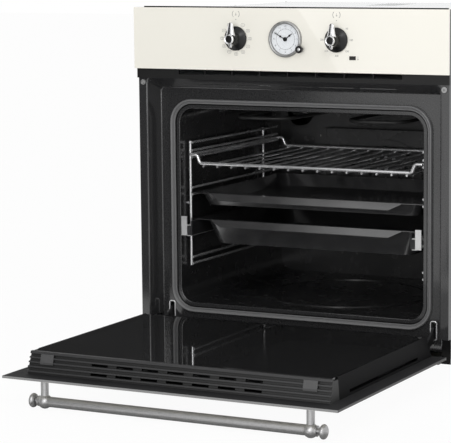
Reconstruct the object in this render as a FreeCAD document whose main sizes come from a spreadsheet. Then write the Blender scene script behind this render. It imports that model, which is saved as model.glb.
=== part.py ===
import FreeCAD, Part
import math
import os
import re
import Sketcher

# A 60 cm built-in oven with a drop-down door, shown with its door open.
# X runs to the right, Y to the back and Z up. The origin is on the casing's underside,
# in the middle of its width, at the plane where the front flange meets the cabinet.

doc = FreeCAD.newDocument("built_in_oven")

# Driving dimensions in millimetres, degrees or counts
SIZES = [
    ("oven_width", 595), ("oven_height", 595), ("front_proud", 22), ("sheet_wall", 1.2),
    ("panel_height", 107.5), ("panel_sheet", 1.5),
    ("casing_inset", 19.5), ("casing_depth", 546), ("casing_drop", 10), ("casing_bend", 2.4),
    ("crest_height", 11.5), ("crest_inset", 9.5), ("lip_height", 12),
    ("louvre_length", 60), ("louvre_height", 5), ("louvre_pitch", 14), ("louvre_count", 8),
    ("louvre_margin", 60),
    ("rim_proud", 12), ("rim_width", 16.5), ("recess_floor", 25), ("recess_draft", 7), ("recess_head", 16.5),
    ("recess_corner", 10), ("recess_slope", 19), ("rim_foot", 43), ("frame_foot", 15), ("cut_margin", 1),
    ("dash_width", 67), ("dash_height", 3), ("dash_pitch", 78), ("dash_count", 5), ("dash_depth", 22),
    ("bush_outset", 7.5), ("bush_drop", 25), ("bush_hole", 4.5), ("bush_shank", 7), ("bush_head", 9.5),
    ("bush_head_thick", 1.5),
    ("strip_height", 17), ("strip_thick", 4), ("strip_inset", 2), ("vent_width", 51), ("vent_height", 8),
    ("vent_pitch", 53.2), ("vent_count", 8), ("vent_drop", 1.5),
    ("cavity_inset", 44.5), ("cavity_floor", 66), ("cavity_head", 56), ("cavity_back", 111),
    ("cavity_corner", 26), ("insulation_thick", 14), ("insulation_setback", 45), ("floor_ring", 310),
    ("floor_ring_band", 12), ("floor_ring_rise", 1.2),
    ("gasket_gap", 8.5), ("gasket_band", 8.5), ("gasket_clear", 0.4), ("gasket_round", 2.5),
    ("fan_cover_width", 296), ("fan_cover_height", 230), ("fan_cover_depth", 25), ("fan_cover_corner", 20),
    ("fan_drop", 5.5), ("fan_ring", 195), ("fan_ring_rise", 3), ("fan_hole", 8), ("fan_hole_circle", 44),
    ("fan_hole_step", 40), ("fan_hole_rings", 4), ("fan_hole_count", 8),
    ("fan_diameter", 150), ("fan_depth", 14), ("fan_blade", 1.5), ("fan_blade_count", 12), ("fan_hub", 22),
    ("fan_back_gap", 3), ("shaft", 8), ("running_fit", 0.05), ("motor_can", 70), ("motor_length", 45),
    ("motor_seat", 110),
    ("element_tube", 6.5), ("ring_diameter", 190), ("ring_forward", 12), ("element_tail", 30),
    ("tail_spacing", 24), ("grill_drop", 20), ("grill_front", 70), ("grill_leg_spacing", 110),
    ("grill_leg_count", 4), ("grill_bend", 40), ("hole_clear", 0.3),
    ("lens_diameter", 52), ("lens_rim", 4), ("lens_dome", 14), ("lens_crown", 20), ("lens_side", 43.5),
    ("lens_below", 38),
    ("rack_post", 5), ("rack_wire", 4.5), ("rack_post_gap", 5.5), ("rack_weld", 0.5), ("rack_front", 28),
    ("rack_overhang", 52), ("rack_tail", 3), ("rack_drop", 61), ("rack_rear_gap", 37), ("guide_gap", 12),
    ("shelf_below", 90), ("shallow_share", 0.652849740933), ("deep_share", 0.300518134715), ("low_rise", 66),
    ("stud", 6),
    ("stud_front_below", 173), ("stud_rear_below", 85), ("slide_clear", 0.3), ("post_clear", 0.5),
    ("shelf_wire", 6), ("shelf_drop", 15), ("shelf_ledge", 12), ("shelf_front", 20), ("shelf_rear_gap", 40),
    ("shelf_bend", 6), ("bed_wire", 4), ("bed_count", 15), ("bed_margin", 8),
    ("tray_sheet", 1), ("tray_front", 23.5), ("tray_rear_gap", 35), ("tray_corner", 18),
    ("shallow_depth", 22), ("shallow_flange", 11), ("shallow_flare", 9), ("deep_depth", 45),
    ("deep_flange", 13.5), ("deep_flare", 16), ("grip_width", 368), ("grip_reach", 9), ("grip_drop", 11),
    ("grip_taper", 24),
    ("runner_width", 8), ("runner_height", 20), ("runner_wall", 1.2), ("runner_wire_gap", 0.25),
    ("runner_play", 0.5), ("runner_drop", 4), ("runner_front", 1), ("slide_rise", 7.2), ("tab_width", 11),
    ("tab_low", 3), ("tab_height", 34.5), ("tab_thick", 2),
    ("door_foot", 38), ("door_top_gap", 13.5), ("door_glass", 4), ("door_thickness", 40),
    ("door_side_gap", 9.5), ("door_draft", 2.5), ("door_setback", 34.5), ("rail_lean", 11),
    ("rail_height", 30), ("rail_wall", 2), ("ridge_count", 5), ("ridge_rise", 3.5), ("rail_slot", 30),
    ("rail_slot_pitch", 46), ("rail_slot_count", 7), ("door_wall", 2), ("ledge_width", 25.5),
    ("door_toe", 38), ("door_heel", 58),
    ("side_notch", 5), ("side_notch_inset", 4), ("side_notch_margin", 40), ("glass_foot", 64),
    ("glass_play", 0.5), ("middle_glass_inset", 24.5), ("middle_glass_back", 17), ("clip_width", 24),
    ("clip_inset", 33.5), ("clip_rise", 1.5),
    ("hinge_inset", 9), ("hinge_height", 22.5), ("hinge_side", 15.5), ("hinge_pin", 6), ("arm_thick", 4),
    ("arm_end", 12), ("arm_height", 22), ("arm_reach", 64), ("slot_width", 9), ("slot_low", 35),
    ("slot_height", 30), ("housing_width", 10), ("housing_wall", 2), ("housing_head", 235),
    ("housing_depth", 29), ("housing_open", 62),
    ("handle_proud", 39.5), ("handle_below", 33), ("handle_post_inset", 60), ("handle_bar_diameter", 17),
    ("handle_ball", 23.6), ("handle_post", 13), ("handle_foot", 18), ("handle_foot_thick", 3),
    ("handle_fit", 0.05), ("finial_diameter", 23.5), ("finial_thick", 13), ("finial_neck", 9),
    ("finial_length", 16.4),
    ("knob_spacing", 190), ("knob_drop", 52.5), ("knob_skirt", 42), ("knob_gap", 0.8), ("knob_edge", 3),
    ("knob_hub", 22), ("knob_shoulder", 9), ("knob_length", 24), ("lever_width", 9.7), ("lever_tip", 28.5),
    ("lever_tail", 15), ("lever_thick", 10), ("lever_flat", 0.1), ("knob_cap", 17.7), ("knob_cap_dish", 13),
    ("knob_cap_length", 4), ("knob_cap_lip", 1), ("knob_cap_crown", 0.5),
    ("spindle", 6), ("spindle_back", 12), ("switch_size", 46), ("switch_length", 34), ("switch_corner", 4),
    ("switch_neck", 9), ("switch_tab", 6.3), ("switch_tab_thick", 0.8), ("switch_tab_length", 8),
    ("switch_tab_inset", 14),
    ("clock_bezel", 62), ("clock_dial", 52), ("bezel_proud", 6), ("bezel_chamfer", 1.8), ("bezel_play", 0.2),
    ("dial_sheet", 1), ("clock_turret", 48), ("movement_size", 76), ("movement_length", 28),
    ("arbor_back", 7), ("hand_sheet", 0.4),
    ("hand_gap", 0.8), ("minute_reach", 22.5), ("hour_reach", 16), ("hand_width", 2.4), ("hand_tail", 6),
    ("arbor", 1.6), ("pipe", 3.4), ("minute_angle", -60), ("hour_angle", 55), ("glass_lens", 1),
    ("setting_across", 30.7), ("setting_drop", 16.4), ("setting_knob", 10), ("setting_length", 8),
    ("setting_chamfer", 1), ("setting_proud", 14), ("setting_stem", 4),
    ("lamp_width", 11.5), ("lamp_height", 6.4), ("lamp_across", 124.6), ("lamp_drop", 82.5),
    ("lamp_proud", 1), ("lamp_body", 16),
    ("duct_width", 444), ("duct_depth", 232), ("blower_radius", 42), ("blower_length", 220),
    ("blower_lift", 38), ("blower_wall", 1.2), ("intake_rise", 10.5), ("impeller_diameter", 62),
    ("impeller_length", 200), ("impeller_blade", 1.2), ("impeller_blade_depth", 9),
    ("impeller_blade_count", 20), ("impeller_disc", 2), ("blower_motor_can", 52), ("blower_motor_length", 38),
    ("terminal_width", 90), ("terminal_height", 60), ("terminal_depth", 20), ("terminal_side", 38),
    ("terminal_drop", 110), ("gland", 18),
]

sheet = doc.addObject("Spreadsheet::Sheet", "Sizes")
for row, (alias, amount) in enumerate(SIZES, start=1):
    sheet.set("A%d" % row, alias)
    sheet.set("B%d" % row, str(amount))
    sheet.setAlias("B%d" % row, alias)
doc.recompute()

WORDS = re.compile(r"\b(%s)\b" % "|".join(sorted((alias for alias, _ in SIZES), key=len, reverse=True)))


# Lengths that follow from the driving dimensions
DERIVED = {
    "casing_width": "oven_width - 2 * casing_inset",
    "casing_height": "oven_height - casing_drop",
    "cavity_width": "casing_width - 2 * cavity_inset",
    "cavity_height": "oven_height - panel_height - recess_head - cavity_head - cavity_floor",
    "cavity_depth": "casing_depth - cavity_back - recess_floor",
    "cavity_roof": "cavity_floor + cavity_height",
    "bush_spacing": "casing_width + 2 * bush_outset",
    "bush_height": "oven_height - panel_height - bush_drop",
    "lens_across": "cavity_width / 2 - lens_side",
    "rack_head": "cavity_roof - rack_drop",
    "rack_foot": "guide_low - rack_tail",
    "guide_shelf": "cavity_roof - shelf_below",
    "guide_low": "cavity_floor + low_rise",
    "guide_shallow": "guide_low + (guide_shelf - guide_low) * shallow_share",
    "guide_deep": "guide_low + (guide_shelf - guide_low) * deep_share",
    "rack_pitch": "cavity_depth - rack_front - rack_overhang - rack_rear_gap",
    "stud_front_height": "cavity_roof - stud_front_below",
    "stud_rear_height": "cavity_roof - stud_rear_below",
    "door_head": "oven_height - panel_height - door_top_gap",
    "door_body_width": "casing_width - 2 * door_side_gap",
    "middle_glass_width": "door_body_width - 2 * middle_glass_inset",
    "bottom_rail_width": "door_body_width - 2 * ledge_width",
    "clip_across": "door_body_width / 2 - clip_inset",
    "hinge_across": "door_body_width / 2 - hinge_side",
    "handle_post_across": "oven_width / 2 - handle_post_inset",
    "terminal_across": "casing_width / 2 - terminal_side - terminal_width",
}
DERIVED_WORDS = re.compile(r"\b(%s)\b" % "|".join(sorted(DERIVED, key=len, reverse=True)))


def spelled(expression):
    """The expression with its derived lengths written out in driving dimensions."""
    while DERIVED_WORDS.search(expression):
        expression = DERIVED_WORDS.sub(lambda found: "(%s)" % DERIVED[found.group(1)], expression)
    return expression


def bound(expression):
    """The expression with its size names pointing at the sheet."""
    return WORDS.sub(r"Sizes.\1", spelled(expression))


def value(expression):
    """The expression's present value as a number."""
    return float(sheet.evalExpression(spelled(expression)))


def vector(x, y, z="0"):
    return FreeCAD.Vector(value(x), value(y), value(z))


# Planes and edges that several pieces share
HALF = "(oven_width / 2)"
SIDE = "(casing_width / 2)"
FACE = "(-front_proud)"
PANEL_LOW = "(oven_height - panel_height)"
RIM = "(-rim_proud)"
RIM_OUT = "(casing_width / 2 + rim_width)"
FLOOR = "recess_floor"
FLOOR_BACK = "(recess_floor + sheet_wall)"
RECESS_TOP = "(oven_height - panel_height - recess_head)"
STRIP_LOW = "(oven_height - panel_height - strip_height)"
CAVITY_SIDE = "(cavity_width / 2)"
CAVITY_ROOF = "(cavity_floor + cavity_height)"
CAVITY_REAR = "(recess_floor + cavity_depth)"
FAN_HEIGHT = "(cavity_floor + cavity_height / 2 - fan_drop)"
FAN_COVER_FACE = "(recess_floor + cavity_depth - fan_cover_depth)"
DOOR_GLASS_BACK = "(door_glass - front_proud)"
DOOR_INNER = "(door_thickness - front_proud)"
DOOR_SIDE = "(door_body_width / 2)"
DOOR_ROOT = "(door_body_width / 2 + door_draft)"
DOOR_BODY_HEAD = "(door_head - door_setback)"
RAIL_FOOT = "(door_head - door_setback - rail_height)"
HINGE_Y = "(hinge_inset - front_proud)"
KNOB_HEIGHT = "(oven_height - knob_drop)"
POST_X = "(cavity_width / 2 - rack_post_gap)"
GUIDE_X = "(cavity_width / 2 - rack_post_gap - (rack_post + rack_wire) / 2 + rack_weld)"
GUIDE_REACH = "(cavity_width / 2 - rack_post_gap - rack_post / 2 - post_clear)"


# Sketches, bodies and features

def body(label):
    piece = doc.addObject("PartDesign::Body", label)
    piece.Label = label
    return piece


def sketch(piece, plane, at="0"):
    """A sketch on the body's own plane, moved to where that plane's third axis is at."""
    drawing = piece.newObject("Sketcher::SketchObject", "outline")
    support = [item for item in piece.Origin.OriginFeatures if item.Role == plane + "_Plane"]
    drawing.AttachmentSupport = [(support[0], "")]
    drawing.MapMode = "FlatFace"
    sign = "-1" if plane == "XZ" else "1"
    drawing.setExpression("AttachmentOffset.Base.z", bound("%s * (%s)" % (sign, at)))
    return drawing


def limit(drawing, kind, geometry, end, expression):
    index = drawing.addConstraint(Sketcher.Constraint(kind, -1, 1, geometry, end, value(expression)))
    drawing.setExpression("Constraints[%d]" % index, bound(expression))


def set_radius(drawing, geometry, expression):
    index = drawing.addConstraint(Sketcher.Constraint("Radius", geometry, value(expression)))
    drawing.setExpression("Constraints[%d]" % index, bound(expression))


def polygon(drawing, corners):
    """A closed outline of straight lines through corners given as pairs of expressions."""
    points = [vector(across, up) for across, up in corners]
    count = len(points)
    first = drawing.GeometryCount
    drawing.addGeometry([Part.LineSegment(points[i], points[(i + 1) % count]) for i in range(count)])
    for i, (across, up) in enumerate(corners):
        drawing.addConstraint(Sketcher.Constraint("Coincident", first + (i - 1) % count, 2, first + i, 1))
        limit(drawing, "DistanceX", first + i, 1, across)
        limit(drawing, "DistanceY", first + i, 1, up)


def rectangle(drawing, left, right, low, high):
    polygon(drawing, [(left, low), (right, low), (right, high), (left, high)])


def circle(drawing, across, up, diameter):
    radius = "(%s) / 2" % diameter
    index = drawing.addGeometry(Part.Circle(vector(across, up), FreeCAD.Vector(0, 0, 1), value(radius)))
    limit(drawing, "DistanceX", index, 3, across)
    limit(drawing, "DistanceY", index, 3, up)
    set_radius(drawing, index, radius)


def rounded(drawing, left, right, low, high, radius):
    """A rectangle with four equal round corners."""
    x0, x1, y0, y1, r = (value(item) for item in (left, right, low, high, radius))
    first = drawing.GeometryCount
    corners = [(x1 - r, y0 + r), (x1 - r, y1 - r), (x0 + r, y1 - r), (x0 + r, y0 + r)]
    runs = [((x0 + r, y0), (x1 - r, y0)), ((x1, y0 + r), (x1, y1 - r)),
            ((x1 - r, y1), (x0 + r, y1)), ((x0, y1 - r), (x0, y0 + r))]
    for i in range(4):
        start, end = (FreeCAD.Vector(x, y, 0) for x, y in runs[i])
        drawing.addGeometry(Part.LineSegment(start, end))
        bend = Part.Circle(FreeCAD.Vector(*corners[i], 0), FreeCAD.Vector(0, 0, 1), r)
        drawing.addGeometry(Part.ArcOfCircle(bend, math.radians(90 * i - 90), math.radians(90 * i)))
    for i in range(4):
        line = first + 2 * i
        drawing.addConstraint(Sketcher.Constraint("Tangent", line, 2, line + 1, 1))
        drawing.addConstraint(Sketcher.Constraint("Tangent", line + 1, 2, first + (2 * i + 2) % 8, 1))
        if i:
            drawing.addConstraint(Sketcher.Constraint("Equal", first + 1, line + 1))
    drawing.addConstraint(Sketcher.Constraint("Horizontal", first))
    drawing.addConstraint(Sketcher.Constraint("Vertical", first + 2))
    limit(drawing, "DistanceY", first, 1, low)
    limit(drawing, "DistanceX", first + 2, 1, right)
    limit(drawing, "DistanceY", first + 4, 1, high)
    limit(drawing, "DistanceX", first + 6, 1, left)
    set_radius(drawing, first + 1, radius)


def pad(piece, drawing, length, back=False):
    """Adds material along the sketch's normal: up from XY, to the front from XZ, to the right from YZ."""
    feature = piece.newObject("PartDesign::Pad", "pad")
    feature.Profile = drawing
    feature.setExpression("Length", bound(length))
    feature.Reversed = back
    doc.recompute()
    return feature


def pocket(piece, drawing, length, back=False):
    """Cuts against the sketch's normal: down from XY, to the rear from XZ, to the left from YZ."""
    before = piece.Shape.Volume
    feature = piece.newObject("PartDesign::Pocket", "pocket")
    feature.Profile = drawing
    feature.setExpression("Length", bound(length))
    feature.Reversed = back
    doc.recompute()
    if not piece.Shape.Volume < before:
        raise RuntimeError(piece.Label + ": a pocket cuts nothing")
    return feature


def revolve(piece, corners, axis, plane="XY"):
    """Turns an outline about one of its sketch's own axes."""
    drawing = sketch(piece, plane)
    polygon(drawing, corners)
    feature = piece.newObject("PartDesign::Revolution", "revolution")
    feature.Profile = drawing
    feature.ReferenceAxis = (drawing, [axis])
    feature.Angle = 360
    doc.recompute()
    return feature


def loft(piece, kind, drawings):
    feature = piece.newObject("PartDesign::" + kind, "loft")
    feature.Profile = drawings[0]
    feature.Sections = drawings[1:]
    feature.Ruled = True
    doc.recompute()
    return feature


def row_of(piece, feature, drawing, axis, pitch, count):
    """Repeats a feature in a straight row along one axis of its sketch."""
    pattern = piece.newObject("PartDesign::LinearPattern", "row")
    pattern.Originals = [feature]
    pattern.Direction = (drawing, [axis])
    pattern.setExpression("Length", bound("(%s) * (%s - 1)" % (pitch, count)))
    pattern.setExpression("Occurrences", bound(count))
    piece.Tip = pattern
    doc.recompute()
    return pattern


def ring_of(piece, feature, drawing, axis, count):
    """Repeats a feature evenly round one axis of its sketch."""
    pattern = piece.newObject("PartDesign::PolarPattern", "ring")
    pattern.Originals = [feature]
    pattern.Axis = (drawing, [axis])
    pattern.Angle = 360
    pattern.setExpression("Occurrences", bound(count))
    piece.Tip = pattern
    doc.recompute()
    return pattern


def round_edges(piece, chosen, radius):
    base = piece.Tip
    names = ["Edge%d" % (i + 1) for i, edge in enumerate(base.Shape.Edges) if chosen(edge)]
    feature = piece.newObject("PartDesign::Fillet", "fillet")
    feature.Base = (base, names)
    feature.setExpression("Radius", bound(radius))
    doc.recompute()
    return feature


def in_plane(edge, axis, position):
    """True for an edge that lies in the plane where axis (0, 1 or 2) has this position."""
    return all(abs(vertex.Point[axis] - position) < 1e-4 for vertex in edge.Vertexes)


def place(piece, across="0", deep="0", up="0"):
    piece.setExpression("Placement.Base.x", bound(across))
    piece.setExpression("Placement.Base.y", bound(deep))
    piece.setExpression("Placement.Base.z", bound(up))
    doc.recompute()
    return piece


def mirrored_pair(label, piece):
    """One node that holds a right-hand piece and its mirror image."""
    piece.Label = label + "_right"
    twin = doc.addObject("Part::Mirroring", label + "_left")
    twin.Source = piece
    twin.Normal = FreeCAD.Vector(1, 0, 0)
    group = doc.addObject("Part::Compound", label)
    group.Links = [piece, twin]
    group.Label = label
    doc.recompute()
    return group


def shaped(label, shape):
    """A node whose shape is made directly, as bent wire is."""
    feature = doc.addObject("Part::Feature", label)
    feature.Label = label
    feature.Shape = shape
    return feature


def bent_wire(corners, bend, diameter):
    """Round wire along straight runs that meet in tangent bends."""
    points = [FreeCAD.Vector(*corner) for corner in corners]
    edges = []
    start = points[0]
    for before, corner, after in zip(points, points[1:], points[2:]):
        towards = (before - corner).normalize()
        onwards = (after - corner).normalize()
        half_turn = (math.pi - towards.getAngle(onwards)) / 2
        setback = bend * math.tan(half_turn)
        first = corner + towards * setback
        last = corner + onwards * setback
        middle_way = (towards + onwards).normalize()
        middle = corner + middle_way * (bend / math.cos(half_turn) - bend)
        edges.append(Part.LineSegment(start, first).toShape())
        edges.append(Part.Arc(first, middle, last).toShape())
        start = last
    edges.append(Part.LineSegment(start, points[-1]).toShape())
    spine = Part.Wire(edges)
    heading = (points[1] - points[0]).normalize()
    section = Part.Wire(Part.makeCircle(diameter / 2, points[0], heading))
    return spine.makePipeShell([section], True, False)


def rod(start, end, diameter):
    """Straight round wire between two points."""
    run = FreeCAD.Vector(*end) - FreeCAD.Vector(*start)
    return Part.makeCylinder(diameter / 2, run.Length, FreeCAD.Vector(*start), run)


def welded(wires):
    return wires[0].multiFuse(wires[1:]).removeSplitter()


NODES = []


def keep(piece):
    NODES.append(piece)
    return piece


# Casing: folded sheet steel panels screwed together round the insulated cavity

def make_casing_side():
    piece = body("casing_right")
    outline = sketch(piece, "XY")
    wall_in = SIDE + " - sheet_wall"
    rear = "casing_depth - sheet_wall"
    polygon(outline, [(wall_in, "casing_bend"), (SIDE, "-sheet_wall"), (RIM_OUT, "-sheet_wall"),
                      (RIM_OUT, "0"), (SIDE, "0"), (SIDE, rear), (wall_in, rear)])
    pad(piece, outline, "casing_height")
    louvre = sketch(piece, "YZ", SIDE)
    far = "casing_depth - louvre_margin"
    top = "casing_height - louvre_margin"
    rectangle(louvre, far + " - louvre_length", far, top + " - louvre_height", top)
    cut = pocket(piece, louvre, "sheet_wall")
    row = row_of(piece, cut, louvre, "V_Axis", "louvre_pitch", "louvre_count")
    row.Reversed = True
    hole = sketch(piece, "XZ", "-sheet_wall")
    circle(hole, "bush_spacing / 2", "bush_height", "bush_shank")
    pocket(piece, hole, "sheet_wall")
    return piece


right_side = keep(make_casing_side())
left_side = doc.addObject("Part::Mirroring", "casing_left")
left_side.Label = "casing_left"
left_side.Source = right_side
left_side.Normal = FreeCAD.Vector(1, 0, 0)
keep(left_side)

casing_bottom = keep(body("casing_bottom"))
outline = sketch(casing_bottom, "XY")
rectangle(outline, "sheet_wall - " + SIDE, SIDE + " - sheet_wall", RIM, "casing_depth - sheet_wall")
pad(casing_bottom, outline, "sheet_wall")
outline = sketch(casing_bottom, "XZ", RIM + " + sheet_wall")
rectangle(outline, "sheet_wall - " + SIDE, SIDE + " - sheet_wall", "0", "lip_height")
pad(casing_bottom, outline, "sheet_wall")

casing_top = keep(body("casing_top"))
outline = sketch(casing_top, "XY", "casing_height")
rectangle(outline, "-" + SIDE, SIDE, "-sheet_wall", "casing_depth")
pad(casing_top, outline, "sheet_wall")
outline = sketch(casing_top, "XZ", "0")
crest = HALF + " - crest_inset"
rectangle(outline, "-(%s)" % crest, crest, "casing_height", "casing_height + crest_height")
pad(casing_top, outline, "sheet_wall")
louvre = sketch(casing_top, "XY", "casing_height + sheet_wall")
far = "casing_depth - louvre_margin"
rectangle(louvre, "-louvre_length / 2", "louvre_length / 2", far + " - louvre_height", far)
cut = pocket(casing_top, louvre, "sheet_wall")
row_of(casing_top, cut, louvre, "V_Axis", "louvre_pitch", "louvre_count").Reversed = True

casing_rear = keep(body("casing_rear"))
outline = sketch(casing_rear, "XZ", "casing_depth")
rectangle(outline, "-" + SIDE, SIDE, "0", "casing_height")
pad(casing_rear, outline, "sheet_wall")
louvre = sketch(casing_rear, "XZ", "casing_depth - sheet_wall")
rectangle(louvre, "louvre_margin", "louvre_margin + louvre_length",
          "louvre_margin", "louvre_margin + louvre_height")
cut = pocket(casing_rear, louvre, "sheet_wall")
row_of(casing_rear, cut, louvre, "V_Axis", "louvre_pitch", "louvre_count")

terminal_box = keep(body("terminal_box"))
outline = sketch(terminal_box, "XZ", "casing_depth")
box_high = "casing_height - terminal_drop"
rectangle(outline, "terminal_across", "terminal_across + terminal_width",
          box_high + " - terminal_height", box_high)
pad(terminal_box, outline, "terminal_depth", back=True)
inlet = sketch(terminal_box, "XY", box_high + " - terminal_height")
circle(inlet, "terminal_across + terminal_width / 2", "casing_depth + terminal_depth / 2", "gland")
pocket(terminal_box, inlet, "terminal_height / 2", back=True)

# Front frame: one pressed sheet with a rim on the cabinet and a recess that takes the closed door

front_frame = keep(body("front_frame"))
WALL_FOOT = "(casing_width / 2 - recess_draft)"
RECESS_REAR_TOP = "(%s - recess_slope)" % RECESS_TOP
across = SIDE + " + sheet_wall"
outside = RIM_OUT + " + cut_margin"
behind = FLOOR_BACK + " + cut_margin"

ceiling = sketch(front_frame, "YZ", across)
polygon(ceiling, [(RIM, RECESS_TOP), (FLOOR_BACK, RECESS_REAR_TOP),
                  (FLOOR_BACK, RECESS_REAR_TOP + " + sheet_wall"), (RIM, RECESS_TOP + " + sheet_wall")])
pad(front_frame, ceiling, "2 * (%s)" % across, back=True)
corners = sketch(front_frame, "XY", PANEL_LOW)
for side in ("-1", "1"):
    polygon(corners, [("%s * (%s)" % (side, x), y) for x, y in (
        (across, RIM + " + sheet_wall"), (WALL_FOOT + " + sheet_wall", FLOOR_BACK),
        (WALL_FOOT + " + sheet_wall", behind), (outside, behind), (outside, RIM + " + sheet_wall"))])
pocket(front_frame, corners, PANEL_LOW)

right_half = [(WALL_FOOT, FLOOR), (SIDE, RIM), (RIM_OUT, RIM), (RIM_OUT, "-sheet_wall"),
              (RIM_OUT + " - sheet_wall", "-sheet_wall"), (RIM_OUT + " - sheet_wall", RIM + " + sheet_wall"),
              (SIDE + " + sheet_wall", RIM + " + sheet_wall"), (WALL_FOOT + " + sheet_wall", FLOOR_BACK)]
left_half = [("-(%s)" % x, y) for x, y in reversed(right_half)]
section = sketch(front_frame, "XY", "frame_foot")
polygon(section, right_half + left_half)
pad(front_frame, section, PANEL_LOW + " - frame_foot")
duct_room = sketch(front_frame, "YZ", across)
polygon(duct_room, [(RIM + " + sheet_wall", RECESS_TOP + " + sheet_wall"),
                    (behind, RECESS_REAR_TOP + " + sheet_wall"), (behind, PANEL_LOW),
                    (RIM + " + sheet_wall", PANEL_LOW)])
pocket(front_frame, duct_room, "2 * (%s)" % across)
toe = sketch(front_frame, "XY", "rim_foot")
rectangle(toe, "-(%s)" % outside, outside, RIM + " - cut_margin", FLOOR)
pocket(front_frame, toe, "rim_foot - frame_foot")
header = sketch(front_frame, "XZ", RIM + " + sheet_wall")
rectangle(header, "-(%s)" % across, across, RECESS_TOP, PANEL_LOW)
pad(front_frame, header, "sheet_wall")

mouth_corner = vector(SIDE, RIM, RECESS_TOP)


def recess_corner_edge(edge):
    """True for the inside edges that run back from the recess's two upper corners."""
    ends = [FreeCAD.Vector(abs(vertex.X), vertex.Y, vertex.Z) for vertex in edge.Vertexes]
    touches = any(point.isEqual(mouth_corner, 1e-4) for point in ends)
    return touches and abs(ends[0].y - ends[-1].y) > 1 and abs(ends[0].z - ends[-1].z) > 1


round_edges(front_frame, recess_corner_edge, "recess_corner")
dash = sketch(front_frame, "XY", RECESS_TOP + " + sheet_wall")
dash_left = "-dash_pitch * (dash_count - 1) / 2 - dash_width / 2"
dash_front = RIM + " + dash_depth"
rectangle(dash, dash_left, dash_left + " + dash_width", dash_front, dash_front + " + dash_height")
cut = pocket(front_frame, dash, "recess_slope")
row_of(front_frame, cut, dash, "H_Axis", "dash_pitch", "dash_count")
openings = sketch(front_frame, "XZ", FLOOR)
rounded(openings, "-" + CAVITY_SIDE, CAVITY_SIDE, "cavity_floor", CAVITY_ROOF, "cavity_corner")
for side in ("-1", "1"):
    middle = side + " * hinge_across"
    rectangle(openings, middle + " - slot_width / 2", middle + " + slot_width / 2",
              "slot_low", "slot_low + slot_height")
pocket(front_frame, openings, "sheet_wall")
holes = sketch(front_frame, "XZ", RIM)
for side in ("-1", "1"):
    circle(holes, side + " * bush_spacing / 2", "bush_height", "bush_shank")
vent_low = PANEL_LOW + " - vent_drop - vent_height"
rectangle(holes, "-duct_width / 2 + blower_wall", "duct_width / 2 - blower_wall",
          vent_low, vent_low + " + vent_height")
pocket(front_frame, holes, "sheet_wall")

bush = body("mounting_bush")
revolve(bush, [("bush_hole / 2", RIM + " - bush_head_thick"), ("bush_head / 2", RIM + " - bush_head_thick"),
               ("bush_head / 2", RIM), ("bush_shank / 2", RIM), ("bush_shank / 2", "0"),
               ("bush_hole / 2", "0")], "V_Axis")
place(bush, "bush_spacing / 2", "0", "bush_height")
keep(mirrored_pair("mounting_bushes", bush))

# Gasket: woven glass cord tube clipped round the cavity mouth

cavity_gasket = keep(body("cavity_gasket"))
outline = sketch(cavity_gasket, "XZ", FLOOR)
for gap in ("gasket_gap", "gasket_gap + gasket_band"):
    rounded(outline, "-(%s + %s)" % (CAVITY_SIDE, gap), "%s + %s" % (CAVITY_SIDE, gap),
            "cavity_floor - (%s)" % gap, "%s + %s" % (CAVITY_ROOF, gap), "cavity_corner + %s" % gap)
pad(cavity_gasket, outline, FLOOR + " - " + DOOR_INNER + " - gasket_clear")
gasket_front = value(DOOR_INNER + " + gasket_clear")
round_edges(cavity_gasket, lambda edge: in_plane(edge, 1, gasket_front), "gasket_round")

# Cavity: enamelled steel box with its rear wall, and the glass wool round it


def tube(label, inner, outer, front, length):
    """A tube round the cavity whose walls lie between two offsets from the cavity's inside."""
    piece = body(label)
    drawing = sketch(piece, "XZ", "%s + %s" % (front, length))
    for gap in (inner, outer):
        rounded(drawing, "-(%s + %s)" % (CAVITY_SIDE, gap), "%s + %s" % (CAVITY_SIDE, gap),
                "cavity_floor - (%s)" % gap, "%s + %s" % (CAVITY_ROOF, gap), "cavity_corner + %s" % gap)
    pad(piece, drawing, length)
    return piece


cavity_shell = keep(tube("cavity_shell", "0", "sheet_wall", FLOOR_BACK, "cavity_depth - sheet_wall"))
floor_ring = sketch(cavity_shell, "XY", "cavity_floor")
for diameter in ("floor_ring", "floor_ring - 2 * floor_ring_band"):
    circle(floor_ring, "0", FLOOR + " + cavity_depth / 2", diameter)
pad(cavity_shell, floor_ring, "floor_ring_rise")
keep(tube("insulation", "sheet_wall", "sheet_wall + insulation_thick", "%s + insulation_setback" % FLOOR_BACK,
          "cavity_depth - insulation_setback - 2 * sheet_wall"))

rear_wall = keep(body("cavity_rear_wall"))
outline = sketch(rear_wall, "XZ", CAVITY_REAR + " + sheet_wall")
rounded(outline, "-(%s + sheet_wall)" % CAVITY_SIDE, CAVITY_SIDE + " + sheet_wall",
        "cavity_floor - sheet_wall", CAVITY_ROOF + " + sheet_wall", "cavity_corner + sheet_wall")
pad(rear_wall, outline, "sheet_wall")
holes = sketch(rear_wall, "XZ", CAVITY_REAR)
circle(holes, "0", FAN_HEIGHT, "shaft + 4 * hole_clear")
for side in ("-1", "1"):
    circle(holes, side + " * (grill_leg_count - 1) / 2 * grill_leg_spacing", CAVITY_ROOF + " - grill_drop",
           "element_tube + 2 * hole_clear")
    circle(holes, side + " * tail_spacing / 2", FAN_HEIGHT + " - ring_diameter / 2",
           "element_tube + 2 * hole_clear")
pocket(rear_wall, holes, "sheet_wall")

# Fan cover: a pressed pan with a raised ring and three circles of air holes

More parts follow.
